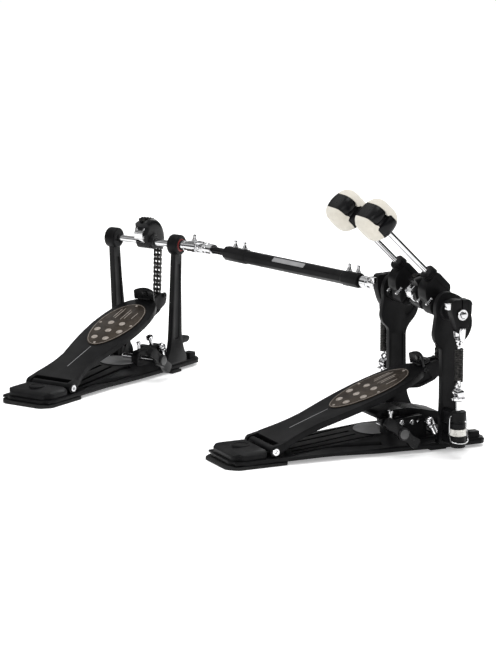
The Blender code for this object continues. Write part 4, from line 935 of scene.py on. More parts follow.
def side_post(side):
    """The right (1) or left (-1) post of the side unit, in that unit's frame."""
    middle = side * SIDE_POST_X
    outline = [(-0.018, 0.023), (-0.02, 0.0123), (0.03, 0.0123), (0.0295, 0.021), (0.021, 0.035),
               (0.0155, 0.055), (0.013, 0.09), (0.01, 0.13), (0.008, AXLE_HEIGHT),
               (-0.0085, AXLE_HEIGHT), (-0.0092, 0.07), (-0.01, 0.045), (-0.013, 0.032)]
    post = plate("post", eased(outline, 0.006), middle - 0.004, middle + 0.004, PROFILE)
    recess = eased([(-0.004, 0.05), (0.0085, 0.05), (0.0045, 0.162), (-0.0045, 0.162)], 0.004)
    post = worked(post, "DIFFERENCE", *[plate("cut", recess,
                                              *sorted((middle + face * 0.0028, middle + face * 0.007)),
                                              PROFILE) for face in (-1, 1)])
    for vertex in post.data.vertices:
        vertex.co.x -= side * SIDE_LEAN * (1 - vertex.co.z / AXLE_HEIGHT)
    boss = lathe("boss", [(-BOSS_HALF_LENGTH, BOSS_RADIUS - 0.0022),
                          (-BOSS_HALF_LENGTH + 0.001, BOSS_RADIUS - 0.0006),
                          (-BOSS_HALF_LENGTH + 0.0026, BOSS_RADIUS), (BOSS_HALF_LENGTH - 0.0026, BOSS_RADIUS),
                          (BOSS_HALF_LENGTH - 0.001, BOSS_RADIUS - 0.0006),
                          (BOSS_HALF_LENGTH, BOSS_RADIUS - 0.0022)],
                 (middle, 0, AXLE_HEIGHT), (1, 0, 0), 48)
    post = worked(post, "UNION", boss)
    post = worked(post, "DIFFERENCE", rod("bore", (middle - 0.03, 0, AXLE_HEIGHT),
                                          (middle + 0.03, 0, AXLE_HEIGHT), 0.005),
                  lathe("seat", [(0.007, 0.0094), (0.009, 0.0094)], (middle, 0, AXLE_HEIGHT), (side, 0, 0),
                        40))
    return softened(post, 0.0006, 2, 35)


def dust_ring():
    """Dark red moulded ring."""
    material, tree, shader = new_material("dark_red_ring", (0.16, 0.01, 0.01), 0.4)
    tint(tree, shader, noise(tree, 200, 3), (0.12, 0.007, 0.007), (0.21, 0.014, 0.013))
    tree.links.new(spread(tree, noise(tree, 150, 3), 0.32, 0.48), shader.inputs["Roughness"])
    return material


RED = dust_ring()
for side, hand in ((1, "right"), (-1, "left")):
    post = side_post(side)
    post.data.transform(SIDE_PLACE)
    fitted(post, hand + "_side_upright", COAT, "root", "black_powder_coat", "side_post_" + hand)
    seal = lathe("seal", [(0.0071, 0.0092), (0.0086, 0.0092), (0.0089, 0.0088)],
                 (side * SIDE_POST_X, 0, AXLE_HEIGHT), (side, 0, 0), 40)
    seal = worked(seal, "DIFFERENCE", rod("bore", (side * SIDE_POST_X - 0.03, 0, AXLE_HEIGHT),
                                          (side * SIDE_POST_X + 0.03, 0, AXLE_HEIGHT), 0.0078))
    seal.data.transform(SIDE_PLACE)
    fitted(seal, hand + "_dust_ring", RED, "root", "black_plastic")

# --------------------------------------------------
# Half axles of the main unit: ground and chromed steel, meeting between the cam and the other beater,
# with a collar beside each holder and a ring and hexagon bolt at the right end.
JOINT_X = -0.119
right_axle = lathe("right_axle", [(-0.015, 0.0044), (-0.0146, AXLE_RADIUS), (0.0255, AXLE_RADIUS),
                                  (0.0257, 0.0064),
                                  (0.0263, 0.0068), (0.0287, 0.0068), (0.0293, 0.0064), (0.0295, AXLE_RADIUS),
                                  (0.1124, AXLE_RADIUS), (0.1124, 0.0068), (0.1128, 0.0072), (0.1142, 0.0072),
                                  (0.1146, 0.0068), (0.1146, 0.0052), (0.1128, 0.005), (0.1128, 0.0036)],
                   (0, 0, 0), (1, 0, 0), 48)
end_bolt = softened(lathe("end_bolt", [(0.112, 0.0042), (0.1172, 0.0042)], (0, 0, 0), (1, 0, 0), 6), 0.0005,
                    2, 40)
spigot = rod("spigot", (-0.028, 0, 0), (-0.0146, 0, 0), 0.0024)
right_axle = merged("right_axle", right_axle, end_bolt, spigot)
right_axle.data.transform(AXLE_FRAME)
fitted(right_axle, "right_half_axle", CHROME, "right_beater", "chrome", "right_axle")


def fork(outward, upright):
    """Fork of a universal joint with its hub, for a joint at the origin; outward leads away from it."""
    outward, upright = Vector(outward), Vector(upright)
    across = outward.cross(upright)
    hub = lathe("hub", [(0.008, 0.0074), (0.0086, 0.0086), (0.0142, 0.0086), (0.0154, 0.0076)], (0, 0, 0),
                outward, 40)
    frame = Matrix.Identity(4)
    ears = []
    for side in (-1, 1):
        for column, axis in enumerate((outward, across, upright * side)):
            frame.col[column].xyz = axis
        shape = eased([(0.01, -0.0048), (0.01, 0.0048), (0.003, 0.0044), (-0.0034, 0.003),
                       (-0.0042, 0.0),
                       (-0.0034, -0.003), (0.003, -0.0044)], 0.002)
        ears.append(plate("ear", shape, 0.005, 0.0084, frame.copy()))
        only(ears[-1])
        bpy.ops.object.mode_set(mode="EDIT")
        bpy.ops.mesh.select_all(action="SELECT")
        bpy.ops.mesh.normals_make_consistent(inside=False)
        bpy.ops.object.mode_set(mode="OBJECT")
    body = worked(hub, "UNION", *ears)
    body = softened(body, 0.0005, 2, 40)
    caps = [lathe("cap", [(0.0078, 0.0026), (0.0088, 0.0026), (0.0092, 0.002)], (0, 0, 0), upright * side,
                  20)
            for side in (-1, 1)]
    return merged("fork", body, *caps)


left_axle = lathe("left_axle", [(0.016, AXLE_RADIUS), (0.052, AXLE_RADIUS), (0.0522, 0.0064),
                                (0.0528, 0.0068),
                                (0.0552, 0.0068), (0.0558, 0.0064), (0.056, AXLE_RADIUS),
                                (0.106, AXLE_RADIUS)],
                  (0, 0, 0), (-1, 0, 0), 48)
left_axle = worked(left_axle, "DIFFERENCE", rod("bore", (-0.029, 0, 0), (-0.01, 0, 0), 0.0027))
inner_fork = fork((1, 0, 0), (0, 0, 1))
inner_fork.data.transform(Matrix.Translation((JOINT_X, 0, 0)))
left_axle = merged("left_axle", left_axle, inner_fork)
left_axle.data.transform(AXLE_FRAME)
fitted(left_axle, "left_half_axle", CHROME, "left_beater", "chrome", "left_axle")

# --------------------------------------------------
# Beater holders: black cast blocks clamped on the axles, slit on one side, with a ridged collar that
# grips the shaft where it enters.
BEATER_X = 0.0405
BEATER_LEAN = radians(45.6)
LEAN_FRAME = AXLE_FRAME @ Matrix.Rotation(BEATER_LEAN, 4, "X")
SHAFT_OFFSET = 0.0236
SHAFT_RADIUS = 0.00397
HEAD_REACH = 0.144
holder = plate("holder", eased([(-0.006, 0.004), (-0.004, -0.004), (0.006, -0.005), (0.024, 0.0005),
                                (0.0315, 0.006), (0.0318, 0.033), (0.011, 0.0332), (0.002, 0.03),
                                (-0.006, 0.02)], 0.004), -0.0105, 0.0105, PROFILE)
holder_hub = lathe("holder_hub", [(-0.0112, 0.0118), (-0.0104, 0.0128), (0.0104, 0.0128), (0.0112, 0.0118)],
                   (0, 0, 0), (1, 0, 0), 40)
holder = worked(holder, "UNION", holder_hub)
holder = worked(holder, "DIFFERENCE", rod("bore", (-0.03, 0, 0), (0.03, 0, 0), AXLE_RADIUS + 0.0002),
                rod("shaft_bore", (0, SHAFT_OFFSET, -0.06), (0, SHAFT_OFFSET, 0.06), SHAFT_RADIUS + 0.0002),
                block("slit", (0.0098, SHAFT_OFFSET - 0.0006, -0.02), (0.02, SHAFT_OFFSET + 0.0006, 0.05)),
                block("slit", (-0.02, -0.014, -0.0007), (0.02, -0.003, 0.0007)))
holder = softened(holder, 0.0009, 3, 35)
collar_profile = [(0.031, 0.0086)]
for step in range(4):
    collar_profile += [(0.0326 + step * 0.0024, 0.0108 - step * 0.0003),
                       (0.0338 + step * 0.0024, 0.0108 - step * 0.0003),
                       (0.0341 + step * 0.0024, 0.0098 - step * 0.0003)]
collar = lathe("collar", collar_profile + [(0.0418, 0.007)], (0, SHAFT_OFFSET, 0), (0, 0, 1), 40)
collar = worked(collar, "DIFFERENCE", rod("bore", (0, SHAFT_OFFSET, 0), (0, SHAFT_OFFSET, 0.06),
                                          SHAFT_RADIUS + 0.0002))
holder = merged("holder", holder, collar)
holder_screws = [lathe("screw", [(-0.0112, 0.0012), (-0.0104, 0.0019), (-0.0078, 0.0019), (-0.0074, 0.0016),
                                 (-0.0008, 0.0016),
                                 (-0.0004, 0.0019), (0.0006, 0.0019), (0.0012, 0.0012)],
                                 (side * 0.0112, 0, 0.0165), (0, 1, 0), 24)
                 for side in (-1, 1)]
holder_screws = merged("holder_screws", *holder_screws)

# --------------------------------------------------
# Beater shafts: straight chromed steel tube, open at the lower end below the holder.
shaft = lathe("shaft", [(-0.0105, 0.0028), (-0.0125, 0.003), (-0.0125, SHAFT_RADIUS - 0.0003),
                        (-0.0121, SHAFT_RADIUS), (HEAD_REACH + 0.0035, SHAFT_RADIUS),
                        (HEAD_REACH + 0.0039, 0.003)],
              (0, SHAFT_OFFSET, 0), (0, 0, 1), 40)

# --------------------------------------------------
# Beater heads: a moulded black core with a barrel-shaped lower part, a groove and a rounded knob on top,
# between two off-white pads that are pressed over it front and back.


def felt():
    """Off-white pressed felt, slightly uneven in tone, with a short nap."""
    material, tree, shader = new_material("white_felt", (0.66, 0.62, 0.55), 0.85)
    tint(tree, shader, noise(tree, 140, 6, 0.7), (0.6, 0.565, 0.49), (0.66, 0.625, 0.55))
    tree.links.new(spread(tree, noise(tree, 500, 3), 0.78, 0.95), shader.inputs["Roughness"])
    shader.inputs["Sheen Weight"].default_value = 0.35
    shader.inputs["Sheen Roughness"].default_value = 0.5
    bump(tree, shader, noise(tree, 1900, 5, 0.7), 0.00035, 0.8)
    return material


FELT = felt()


def round_head(name, profile, steps=64):
    """A turned shape round the middle of the head; distances run up the shaft from that middle."""
    return lathe(name, [(HEAD_REACH + along, radius) for along, radius in profile],
                 (0, SHAFT_OFFSET, 0), (0, 0, 1), steps)


core = round_head("core", [(-0.0185, 0.015), (-0.018, 0.018), (-0.016, 0.0212), (-0.012, 0.0238),
                           (-0.006, 0.0249),
                           (-0.002, 0.0249), (0.0004, 0.0242), (0.001, 0.0222), (0.0016, 0.02),
                           (0.003, 0.0188),
                           (0.0046, 0.0188), (0.0058, 0.0202), (0.0072, 0.0222), (0.011, 0.0232),
                           (0.015, 0.0226),
                           (0.0185, 0.0204), (0.0206, 0.0165), (0.0212, 0.012)])
slab = plate("slab", eased([(SHAFT_OFFSET + t, HEAD_REACH + s) for t, s in (
    (-0.0128, -0.03), (0.0128, -0.03), (0.0128, 0.0004), (0.0088, 0.003), (0.0088, 0.0052), (0.0108, 0.009),
    (0.0108, 0.03), (-0.0108, 0.03), (-0.0108, 0.009), (-0.0088, 0.0052), (-0.0088, 0.003), (-0.0128,
                                                                                               0.0004))],
    0.0018), -0.04, 0.04, PROFILE)
core = worked(core, "INTERSECT", slab)
core = worked(core, "DIFFERENCE", rod("bore", (0, SHAFT_OFFSET, HEAD_REACH - 0.04),
                                      (0, SHAFT_OFFSET, HEAD_REACH + 0.0045), SHAFT_RADIUS + 0.0002))
core = softened(core, 0.0008, 3, 35)
pads = []
for side in (-1, 1):
    pad_shape = round_head("pad", [(-0.018, 0.015), (-0.0174, 0.0185), (-0.015, 0.0222), (-0.01, 0.0246),
                                   (-0.004, 0.025), (0.008, 0.025), (0.014, 0.024), (0.0185, 0.0212),
                                   (0.0202, 0.018), (0.0208, 0.014)])
    keeper = plate("keeper", eased([(SHAFT_OFFSET + side * t, HEAD_REACH + s) for t, s in (
        (0.0131, -0.03), (0.04, -0.03), (0.04, 0.03), (0.0111, 0.03), (0.0111, 0.0088), (0.0091, 0.005),
        (0.0091, 0.0032), (0.0131, 0.0006))], 0.0018), -0.04, 0.04, PROFILE)
    pad_shape = softened(worked(pad_shape, "INTERSECT", keeper), 0.0022, 5, 40)
    pads.append(pad_shape)
pads = merged("pads", *pads)
for side, hand in ((1, "right"), (-1, "left")):
    place = LEAN_FRAME @ Matrix.Translation((side * BEATER_X, 0, 0))
    body = hand + "_beater"
    fitted(again(holder, place), hand + "_holder_block", COAT, body, "black_powder_coat",
           hand + "_beater_holder")
    fitted(again(holder_screws, place), hand + "_holder_screws", CHROME, body, "chrome")
    fitted(again(shaft, place), hand + "_beater_rod", CHROME, body, "chrome", hand + "_beater_shaft")
    fitted(again(core, place), hand + "_head_core", PLASTIC, body, "black_plastic", hand + "_beater_core")
    felt_pads = fitted(again(pads, place), hand + "_head_pads", FELT, body, "white_felt",
                       hand + "_beater_felt")
for pattern in (holder, holder_screws, shaft, core, pads):
    bpy.data.objects.remove(pattern, do_unlink=True)

# --------------------------------------------------
# Rockers: flat-topped black castings clamped on the axle ends by a square-headed bolt across a slit;
# their lower tips pull the springs.
PIN_DROP = 0.0205
rocker_outline = eased([(-0.015, 0.004), (-0.009, -0.013), (-0.006, -0.0225), (0.0, -0.0268),
                        (0.006, -0.0225),
                        (0.01, -0.014), (0.0142, 0.001), (0.0142, 0.016), (0.011, 0.019),
                        (-0.011, 0.0198),
                        (-0.0142, 0.0172)], 0.005)
rocker = plate("rocker", rocker_outline, -0.0065, 0.0065, PROFILE)
rocker = worked(rocker, "DIFFERENCE", rod("bore", (-0.03, 0, 0), (0.03, 0, 0), AXLE_RADIUS + 0.0002),
                rod("seat", (0.0058, 0, 0), (0.02, 0, 0), 0.0076, 40),
                block("slit", (-0.03, -0.0009, 0.0), (0.03, 0.0009, 0.03)))
rocker = softened(rocker, 0.0009, 3, 35)
pinch = softened(plate("pinch", eased([(-0.0045, 0.007), (0.0045, 0.007), (0.0045, 0.0155),
                                       (-0.0045, 0.0155)], 0.0008),
                       0.0128, 0.0195, ACROSS), 0.0006, 2, 40)
pinch_nut = lathe("pinch_nut", [(0.0128, 0.0036), (0.0168, 0.0036), (0.0174, 0.003), (0.0174, 0.0014)],
                  (0, 0, 0.011), (0, 1, 0), 6)
pin_head = lathe("pin_head", [(0.0086, 0.003), (0.0096, 0.003), (0.0101, 0.0024), (0.0101, 0.0012)],
                 (0, 0, -PIN_DROP), (1, 0, 0), 28)
pin_tail = lathe("pin_tail", [(0.0086, 0.0028), (0.0094, 0.0024)], (0, 0, -PIN_DROP), (-1, 0, 0), 28)
rocker_steel = merged("rocker_steel", pinch, pinch_nut)
link_pins = merged("link_pins", pin_head, pin_tail)

# --------------------------------------------------
# Springs: close-wound black pull springs, each between a chromed fork on the rocker's pin and a chromed
# swivel hook on the adjusting rod, which a knurled nickel nut sets inside its housing.


def nickel():
    """Satin nickel plate."""
    material, tree, shader = new_material("knurled_nickel", (0.6, 0.59, 0.56), 0.3, 1.0)
    tree.links.new(spread(tree, noise(tree, 200, 3), 0.24, 0.38), shader.inputs["Roughness"])
    tint(tree, shader, noise(tree, 60, 3), (0.52, 0.51, 0.48), (0.66, 0.65, 0.62))
    return material


NICKEL = nickel()
SPRING_TOP = 0.1455
SPRING_BOTTOM = 0.101
WIRE_RADIUS = 0.0011
COIL_RADIUS = 0.0048
COILS = 18.5
TENSION_SIDES = ((1, "right"), (-1, "left"))
cheek = eased([(-0.0046, 0.001), (-0.003, 0.004), (0.003, 0.004), (0.0046, 0.001), (0.0036, -0.008),
               (0.003, -0.0128), (-0.003, -0.0128), (-0.0036, -0.008)], 0.003)
cheeks = [plate("cheek", cheek, *sorted((side * 0.0069, side * 0.0086)), PROFILE) for side in (-1, 1)]
bridge = plate("bridge", eased([(-0.0086, -0.0105), (0.0086, -0.0105), (0.0086, -0.0125), (0.0034, -0.0165),
                                (-0.0034, -0.0165), (-0.0086, -0.0125)], 0.002), -0.003, 0.003, ACROSS)
eye = plate("eye", arc((0, -0.018), 0.004, 0, 345, 23), -0.0012, 0.0012, PROFILE)
spring_fork = worked(bridge, "UNION", *cheeks)
spring_fork = worked(spring_fork, "DIFFERENCE",
                     block("clearance", (-0.0068, -0.01, -0.0125), (0.0068, 0.01, 0.01)))
spring_fork = worked(spring_fork, "UNION", eye)
spring_fork = worked(spring_fork, "DIFFERENCE",
                     rod("hole", (-0.01, 0, -0.0186), (0.01, 0, -0.0186), 0.0018, 20))
spring_fork = softened(spring_fork, 0.0004, 2, 40)
shank_low = SPRING_TOP - (AXLE_HEIGHT - PIN_DROP) - 0.0085
shank = lathe("shank", [(-0.0215, 0.0012), (-0.0225, 0.0019), (shank_low + 0.001, 0.0019),
                        (shank_low, 0.0012)],
              (0, 0, 0), (0, 0, 1), 20)
spring_fork = merged("spring_fork", spring_fork, shank,
                     rod("pin", (-0.0088, 0, 0), (0.0088, 0, 0), 0.002, 20))

bpy.ops.object.select_all(action="DESELECT")
bpy.ops.mesh.primitive_circle_add(vertices=10, radius=WIRE_RADIUS, fill_type="NOTHING")
coil = bpy.context.object
coil.data.transform(Matrix.Translation((COIL_RADIUS, 0,
                                        SPRING_BOTTOM + WIRE_RADIUS)) @ Matrix.Rotation(pi / 2, 4, "X"))
winding = coil.modifiers.new("winding", "SCREW")
winding.angle = 2 * pi * COILS
winding.screw_offset = SPRING_TOP - SPRING_BOTTOM - 2 * WIRE_RADIUS
winding.steps = winding.render_steps = int(COILS * 20)
bpy.ops.object.modifier_apply(modifier="winding")
bpy.ops.object.mode_set(mode="EDIT")
bpy.ops.mesh.select_all(action="SELECT")
bpy.ops.mesh.remove_doubles(threshold=0.00001)
bpy.ops.mesh.select_mode(type="EDGE")
bpy.ops.mesh.select_all(action="DESELECT")
bpy.ops.mesh.select_non_manifold(extend=False)
bpy.ops.mesh.edge_face_add()
bpy.ops.mesh.select_all(action="SELECT")
bpy.ops.mesh.normals_make_consistent(inside=False)
bpy.ops.object.mode_set(mode="OBJECT")

swivel = lathe("swivel", [(0.0765, 0.004), (0.0765, 0.008), (0.0775, 0.0092), (0.08, 0.0092),
                          (0.0808, 0.008),
                          (0.082, 0.0062)], (0, 0, 0), (0, 0, 1), 40)
barrel = lathe("barrel", [(-0.0078, 0.0038), (-0.007, 0.0052), (-0.0046, 0.0056), (-0.004, 0.0046),
                          (0.004, 0.0046),
                          (0.0046, 0.0056), (0.007, 0.0052), (0.0078, 0.0038)], (0, 0, 0.0865), (1, 0, 0),
                          40)
hook_eye = worked(plate("hook_eye", arc((0, 0.0955), 0.0048, 0, 345, 23), -0.0015, 0.0015, PROFILE),
                  "DIFFERENCE",
                  rod("hole", (-0.01, 0, 0.096), (0.01, 0, 0.096), 0.0022, 20))
hook_eye = softened(hook_eye, 0.0005, 2, 40)
hook_tail = lathe("hook_tail", [(0.0985, 0.0018), (0.103, 0.0018), (0.104, 0.001)], (0, 0, 0), (0, 0, 1),
                  20)
adjust_rod = lathe("adjust_rod", [(0.0128, 0.0022), (0.0134, 0.0028), (0.063, 0.0028), (0.0631, 0.0037),
                                  (0.077, 0.0037)], (0, 0, 0), (0, 0, 1), 32)
adjuster = merged("adjuster", adjust_rod, swivel, barrel, hook_eye, hook_tail)
TEETH = 44
nut_ring = [((0.0103 if step % 2 else 0.0098) * cos(pi * step / TEETH),
             (0.0103 if step % 2 else 0.0098) * sin(pi * step / TEETH))
            for step in range(2 * TEETH)]
nut = plate("nut", nut_ring, NUT_BOTTOM + 0.0002, NUT_TOP - 0.0002)
nut = worked(nut, "INTERSECT", lathe("edge", [(NUT_BOTTOM + 0.0002, 0.0094), (NUT_BOTTOM + 0.001, 0.0104),
                                              (NUT_TOP - 0.001, 0.0104), (NUT_TOP - 0.0002, 0.0094)],
                                     (0, 0, 0), (0, 0, 1), 64))
nut = worked(nut, "DIFFERENCE", rod("bore", (0, 0, 0), (0, 0, 0.08), 0.0031))


def bail(outward):
    """Thin wire loop hung on the housing's cap, passing outside the nut and under it."""
    path = [(0.0, -0.01, 0.0565), (0.0, -0.0122, 0.056), (0.0, -0.0126, 0.048), (0.0, -0.0128, 0.036),
            (0.002, -0.013, 0.027), (0.006, -0.0118, 0.0232), (0.011, -0.007, 0.0222),
            (0.0134, 0.0, 0.022)]
    path += [(x, -y, z) for x, y, z in reversed(path[:-1])]
    data = bpy.data.curves.new("bail", "CURVE")
    data.dimensions = "3D"
    data.bevel_depth = 0.00065
    data.bevel_resolution = 3
    data.use_fill_caps = True
    data.resolution_u = 6
    spline = data.splines.new("NURBS")
    spline.points.add(len(path) - 1)
    for point, (x, y, z) in zip(spline.points, path):
        point.co = (outward * x, y, z, 1)
    spline.order_u = 3
    spline.use_endpoint_u = True
    wire = bpy.data.objects.new("bail", data)
    bpy.context.scene.collection.objects.link(wire)
    only(wire)
    bpy.ops.object.convert(target="MESH")
    return bpy.context.object


for side, hand in TENSION_SIDES:
    at_rocker = AXLE_FRAME @ Matrix.Translation((ROCKER_X[side], 0, 0))
    at_well = Matrix.Translation((ROCKER_X[side], 0, 0))
    turned_out = at_rocker if side > 0 else at_rocker @ Matrix.Rotation(pi, 4, "Z")
    body = hand + "_beater"
    fitted(again(rocker, turned_out), hand + "_rocker_arm", COAT, body, "black_powder_coat", hand + "_rocker")
    fitted(again(rocker_steel, at_rocker), hand + "_pinch_bolt", CHROME, body, "chrome")
    fitted(again(link_pins, at_rocker), hand + "_link_pin", CHROME, body, "chrome")
    fitted(again(spring_fork, at_rocker @ Matrix.Translation((0, 0, -PIN_DROP))), hand + "_spring_fork",
           CHROME,
           hand + "_link", "chrome", hand + "_spring_link")
    fitted(again(coil, at_well), hand + "_coil", CHAIN_STEEL, hand + "_spring", "black_chain_steel",
           hand + "_spring")
    fitted(again(adjuster, at_well), hand + "_adjuster", CHROME, "root", "chrome", hand + "_spring_rod")
    fitted(again(nut, at_well), hand + "_knurled_nut", NICKEL, hand + "_nut", "knurled_nickel",
           hand + "_adjuster_nut")
    wire = bail(side)
    fitted(again(wire, at_well), hand + "_bail", CHROME, "root", "chrome")
    bpy.data.objects.remove(wire, do_unlink=True)
for pattern in (rocker, rocker_steel, link_pins, spring_fork, coil, adjuster, nut):
    bpy.data.objects.remove(pattern, do_unlink=True)

# --------------------------------------------------
# Hoop clamp: a cast jaw hinged between two ears of the base, with a ridged ramp for the hoop and a
# barrel round its pin. Only the main unit has it; both units have the screws beside it.
jaw = plate("jaw", eased([(-0.056, 0.011), (-0.052, 0.0148), (-0.006, 0.0152), (0.016, 0.011),
                          (0.04, 0.005),
                          (0.059, -0.005), (0.059, -0.0118), (0.04, -0.0118), (0.015, -0.011),
                          (-0.002, -0.008), (-0.0105, -0.005), (-0.011, 0.005), (-0.056, 0.0058)],
                          0.003),
            -0.02, 0.02, PROFILE)
ridges = [plate("ridge", [(y, 0.0154 - 0.19 * max(0.0, y + 0.005)),
                          (y + 0.0011, 0.0136 - 0.19 * max(0.0, y + 0.005)),
                          (y + 0.0022, 0.0154 - 0.19 * max(0.0, y + 0.005)), (y + 0.0022, 0.03), (y, 0.03)],
                -0.03, 0.03, PROFILE)
          for y in (-0.016, -0.012, -0.008, -0.004, 0.0, 0.004, 0.008, 0.012)]
recesses = [block("recess", (*sorted((side * 0.0165, side * 0.03))[:1], -0.048, 0.0075),
                  (sorted((side * 0.0165, side * 0.03))[1], -0.022, 0.0125)) for side in (-1, 1)]
jaw = worked(jaw, "DIFFERENCE", *ridges, *recesses)
jaw = softened(jaw, 0.0007, 2, 35)
jaw_pin = lathe("jaw_pin", [(-0.032, 0.0024), (-0.0314, 0.003), (0.0314, 0.003), (0.032, 0.0024)],
                (0, 0, 0), (1, 0, 0), 24)
jaw_place = Matrix.Translation((0, *CLAMP_PIVOT))
for part in (jaw, jaw_pin):
    part.data.transform(jaw_place)
fitted(jaw, "clamp_jaw", COAT, "hoop_clamp_jaw", "black_powder_coat", "hoop_clamp_jaw")
fitted(jaw_pin, "clamp_jaw_pin", CHROME, "hoop_clamp_jaw", "chrome")

# --------------------------------------------------
# Wing screws: black moulded wings with a grey round cap, on a chromed spindle through the base's ear.
WING_AIM = radians(142)
spindle = lathe("spindle", [(0.0045, 0.0032), (0.0055, 0.004), (0.064, 0.004), (0.0645, 0.0036)],
                (0, *WING_PLACE), (1, 0, 0), 24)
wing_outline = []
for sign in (1, -1):
    for reach, half in ((0.004, 0.0072), (0.012, 0.0056), (0.02, 0.007), (0.0262, 0.0072),
                        (0.0288, 0.0046)):
        wing_outline.append((sign * reach, sign * half))
    for reach, half in ((0.0288, -0.0046), (0.0262, -0.0072), (0.02, -0.007), (0.012, -0.0056),
                        (0.004, -0.0072)):
        wing_outline.append((sign * reach, sign * half))
aim = Matrix.Translation((0, *WING_PLACE)) @ Matrix.Rotation(WING_AIM, 4, "X")
wings = plate("wings", eased(wing_outline, 0.003), 0.0662, 0.0742, PROFILE)
for vertex in wings.data.vertices:
    vertex.co.x -= 0.002 * (abs(vertex.co.y) / 0.0288) ** 2
wing_hub = lathe("wing_hub", [(0.064, 0.0062), (0.065, 0.0084), (0.0755, 0.0084), (0.0765, 0.0074)],
                 (0, 0, 0), (1, 0, 0), 40)
wings = softened(worked(wings, "UNION", wing_hub), 0.0011, 3, 35)
wings.data.transform(aim)
wing_cap = lathe("wing_cap", [(0.0755, 0.0064), (0.0768, 0.0064), (0.0776, 0.005), (0.0779, 0.0025),
                              (0.078, 0.0002)],
                 (0, *WING_PLACE), (1, 0, 0), 40)


def grey_cap():
    """Grey moulded cap, matt."""
    material, tree, shader = new_material("grey_cap", (0.06, 0.06, 0.06), 0.5)
    tint(tree, shader, noise(tree, 90, 3), (0.045, 0.045, 0.045), (0.075, 0.075, 0.075))
    tree.links.new(spread(tree, noise(tree, 120, 3), 0.42, 0.58), shader.inputs["Roughness"])
    return material


GREY = grey_cap()
fitted_in_both(spindle, "wing_spindle", CHROME, "unit_wing_screw", "chrome")
fitted_in_both(wings, "wing_grip", PLASTIC, "unit_wing_screw", "black_plastic", "wing_screw")
fitted_in_both(wing_cap, "wing_cap", GREY, "unit_wing_screw", "black_plastic")

# --------------------------------------------------
# Chromed hardware beside the clamp: a ball-headed screw with a visible thread, two cap screws in the
# ear, and a small adjusting screw under the board.
BALL_PLACE = (0.056, -0.015, 0.04)
ball_aim = Vector((0.0, 0.0106, -0.0196)).normalized()
thread = [(0.003, 0.003)]
for turn in range(8):
    thread += [(0.004 + turn * 0.0019, 0.0034), (0.0049 + turn * 0.0019, 0.0042)]
thread += [(0.02, 0.003), (0.0225, 0.0022)]
ball = [(-0.0054 * cos(radians(angle)), max(0.0002, 0.006 * sin(radians(angle)))) for angle in range(0, 150,
                                                                                                      15)]
ball_screw = lathe("ball_screw", ball + thread, BALL_PLACE, ball_aim, 32)
collar_ring = lathe("collar_ring", [(0.0042, 0.0048), (0.0046, 0.0054), (0.0068, 0.0054), (0.0072, 0.0048)],
                    BALL_PLACE, ball_aim, 32)
ear_screws = [lathe("ear_screw", [(0.035, 0.0034), (0.038, 0.0034), (0.0388, 0.0028), (0.0388, 0.0017),
                                  (0.037, 0.0015)],
                    (0, y, z), (1, 0, 0), 24) for y, z in ((-0.045, 0.0372), (-0.03, 0.036))]
hook_screw = lathe("hook_screw", [(0.0, 0.0022), (0.009, 0.0022), (0.0092, 0.0036), (0.0122, 0.0036),
                                  (0.0128, 0.003)],
                   (0.028, -0.056, 0.04), (0, -0.1, 1), 24)
ball_screw = merged("ball_screw", ball_screw, collar_ring)
for unit, place in UNITS:
    inward = Matrix.Translation((0.0 if unit == "main" else -0.017, 0, 0))
    fitted(again(ball_screw, place @ inward), unit + "_ball_screw", CHROME, "root", "chrome")
bpy.data.objects.remove(ball_screw, do_unlink=True)
hardware = merged("hardware", *ear_screws, hook_screw)
fitted_in_both(hardware, "clamp_hardware", CHROME, "root", "chrome")
tab = softened(plate("tab", eased([(0.012, 0.04), (0.033, 0.04), (0.038, 0.043), (0.038, 0.0475),
                                   (0.033, 0.05),
                                   (0.011, 0.05)], 0.003), 0.044, 0.052, PROFILE), 0.001, 3, 40)
tab.data.transform(SIDE_PLACE)
fitted(tab, "side_post_tab", COAT, "root", "black_powder_coat")
knob = lathe("knob", [(0.0, 0.0026), (0.015, 0.0026), (0.0152, 0.0048), (0.016, 0.0054), (0.02, 0.0054),
                      (0.0206, 0.0046)],
             (0.03, -0.026, 0.038), (0, -0.35, 1), 28)
knob.data.transform(SIDE_PLACE)
fitted(knob, "side_upright_screw", CHROME, "root", "chrome")

# --------------------------------------------------
# Side axle: chromed steel with a stepped hub outside the boss, a small wing screw on it, and the fork of
# the universal joint; the cross between the forks is a chromed block with four journals.
SIDE_JOINT_X = 0.101
side_axle = lathe("side_axle", [(-0.0665, 0.004), (-0.066, AXLE_RADIUS), (0.0644, AXLE_RADIUS),
                                (0.0648, 0.007),
                                (0.0654, 0.0076), (0.072, 0.0076), (0.0724, 0.0068), (0.078, 0.0068),
                                (0.0784, 0.008),
                                (0.0915, 0.008), (0.0922, 0.0072), (0.094, 0.0064)], (0, 0, 0), (1, 0, 0),
                                48)
side_fork = fork((-1, 0, 0), (0, 0, 1))
side_fork.data.transform(Matrix.Translation((SIDE_JOINT_X, 0, 0)))


